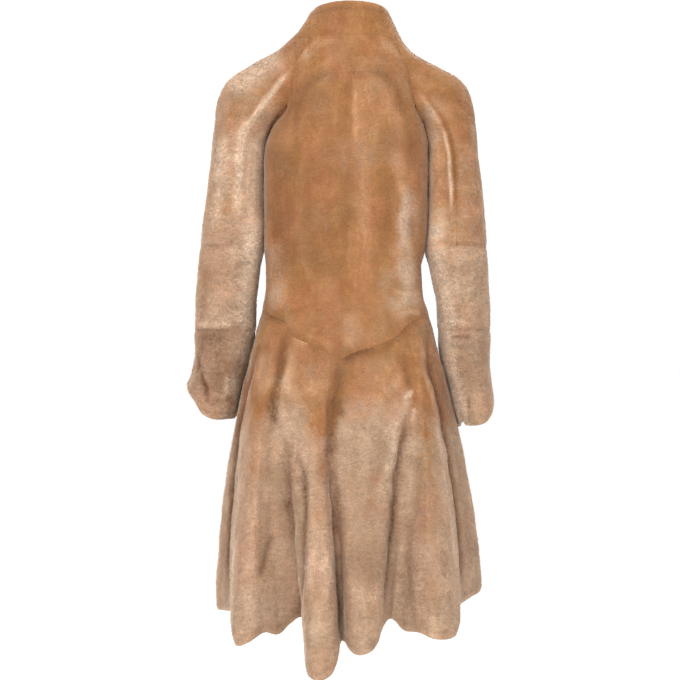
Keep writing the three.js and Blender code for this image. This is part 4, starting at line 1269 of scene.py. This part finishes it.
# how strongly each layer shows in each pile
alike = {"paleToneAndHighlight": 1.1, "creaseShade": 1.0, "bump": 0.4}
finishes = {
    "honey_pile": {
        "brushed": (1.0, 1.0, 0.6), "clouds": 0.13, "blotches": 0.08, "streaks": 0.05, "curls": 0.1,
        "fibres": 0.05, "flecks": 0.2, "puckers": 0.12, "valleys": 0.14, "palePatch": 0.2,
        "paleStreak": 0.18, "strand": 0.06, "rootShade": 0.82, "roughness": 0.88, "sheen": 0.5,
    },
    "beige_pile": {
        "brushed": (0.7, 0.9, 1.0), "clouds": 0.08, "blotches": 0.09, "streaks": 0.05, "curls": 0.19,
        "fibres": 0.08, "flecks": 0.13, "puckers": 0.17, "valleys": 0.24, "palePatch": 0.26,
        "paleStreak": 0.2, "strand": 0.09, "rootShade": 0.8, "roughness": 0.9, "sheen": 0.6,
    },
    "skirt_pile": {
        "brushed": (1.0, 1.0, 0.5), "clouds": 0.08, "blotches": 0.08, "streaks": 0.08, "curls": 0.12,
        "fibres": 0.08, "flecks": 0.12, "puckers": 0.13, "valleys": 0.18, "palePatch": 0.26,
        "paleStreak": 0.24, "strand": 0.09, "rootShade": 0.8, "roughness": 0.9, "sheen": 0.5,
    },
}
pileFinish = {name: pileMaterial(name, {**alike, **settings}) for name, settings in finishes.items()}
suedeSide = suedeMaterial()
print("materials made:", len(pileFinish) + 1)

baseNormals = {name: surfaceNormals(panel["rows"]) for name, panel in panels.items()}
shareEdges({name: panel["rows"] for name, panel in panels.items()}, baseNormals, seamNormals["reach"])
outerFaces, tones = {}, {}
for name, panel in panels.items():
    rows, normals = panel["rows"], baseNormals[name]
    height, dark, shift = reliefOf(name, rows, normals)
    honey = np.clip(honeyAt(name, rows) + shift, 0, 1)
    height += pelt["nubs"] * (1 - honey) * softNoise(rows, pelt["nubSize"], noise["seeds"]["nubs"])
    depth = mix(pelt["pileDepth"], pelt["closeDepth"], closeness(name, rows, normals))
    outerFaces[name] = rows + normals * (height - depth)[..., None]
    tones[name] = {"honey": honey, "dark": dark}
outerNormals = {name: surfaceNormals(grid) for name, grid in outerFaces.items()}
shareEdges(outerFaces, outerNormals, seamNormals["outerReach"])
print("relief and tone set")


def spans(rows):                         # the widest row and the longest column of a panel
    over = np.linalg.norm(np.diff(rows, axis=1), axis=-1)
    down = np.linalg.norm(np.diff(rows, axis=0), axis=-1)
    return over.sum(axis=1).max(), down.sum(axis=0).max()


lockCount, triangleCount = 0, 0
for name, panel in panels.items():
    rows, outer = panel["rows"], outerFaces[name]
    rise = np.sum((outer - rows) * baseNormals[name], axis=-1, keepdims=True)
    inner = rows + baseNormals[name] * (np.minimum(rise + pelt["followDepth"], 0) - pelt["hideDepth"])
    shell = peltShell("pelt_" + name, outer, inner, outerNormals[name], tones[name])
    fur = pileLocks(name, outer, outerNormals[name], tones[name])
    for piece in (shell, fur):
        piece.data.materials.append(pileFinish[panel["slot"]])
    shell.data.materials.append(suedeSide)
    lockCount += len(fur.data.polygons) // 3
    triangleCount += 2 * len(shell.data.polygons) + len(fur.data.polygons)
    width, length = (span * mm for span in spans(rows))
    for piece in (shell, fur):
        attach(piece, "root")
    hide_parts(name)
print("locks:", lockCount, "triangles:", triangleCount)


# floor, light and camera

studio = {
    "floorZ": -1.46,
    "floorSize": 600,
    "floorColour": (0.93, 0.93, 0.93),
    "floorRoughness": 0.9,
    "grain": (400, 3, 0.5),      # size in millimetres, detail and roughness
    "grainShade": 0.98,
    "aim": (0, 0, -0.45),
    # name, place, width and power of each light
    "lights": (("key_light", (-0.9, -2.9, 1.0), 1.3, 100), ("fill_light", (2.2, -2.2, 0.2), 2.2, 22),
               ("top_light", (0.2, 0.4, 2.0), 2.0, 36)),
    "world": 1.1,
}


def floorMaterial():
    book = NodeBook("pale_floor")
    grain = book.noise(book.add("ShaderNodeTexCoord").outputs["Object"], *studio["grain"])
    darker = tuple(studio["grainShade"] * value for value in studio["floorColour"])
    book.put(book.blend(grain, darker, studio["floorColour"]), book.shader.inputs["Base Color"])
    book.constants(roughness=studio["floorRoughness"])
    return book.material


bpy.ops.mesh.primitive_plane_add(size=studio["floorSize"], location=(0, 0, studio["floorZ"]))
floor = bpy.context.view_layer.objects.active
floor.name = "studio_floor"
floor.data.materials.append(floorMaterial())


def softLight(name, place, size, power):
    light = bpy.data.lights.new(name, "AREA")
    light.shape, light.size, light.energy = "DISK", size, power
    lamp = bpy.data.objects.new(name, light)
    bpy.context.scene.collection.objects.link(lamp)
    lamp.location = place
    direction = np.array(studio["aim"]) - np.array(place)
    yaw = math.atan2(direction[1], direction[0])
    pitch = math.atan2(direction[2], math.hypot(direction[0], direction[1]))
    lamp.rotation_euler = (math.pi / 2 + pitch, 0, yaw - math.pi / 2)


for name, place, size, power in studio["lights"]:
    softLight(name, place, size, power)
world = bpy.data.worlds.new("studio_world")
world.use_nodes = True
world.node_tree.nodes["Background"].inputs["Color"].default_value = (1, 1, 1, 1)
world.node_tree.nodes["Background"].inputs["Strength"].default_value = studio["world"]
scene = bpy.context.scene
scene.world = world
scene.view_settings.view_transform = "Standard"

view = {
    "distance": 2.8,
    "place": (-0.0118, -0.467),   # across and up
    "frameWidth": 1.1424,    # width of the picture at the coat, in metres
    "sensor": 36,
}

cameraData = bpy.data.cameras.new("camera")
cameraData.sensor_width = view["sensor"]
cameraData.lens = view["sensor"] * view["distance"] / view["frameWidth"]
camera = bpy.data.objects.new("camera", cameraData)
scene.collection.objects.link(camera)
camera.location = (view["place"][0], -view["distance"], view["place"][1])
camera.rotation_euler = (math.pi / 2, 0, 0)
scene.camera = camera
print("studio ready")
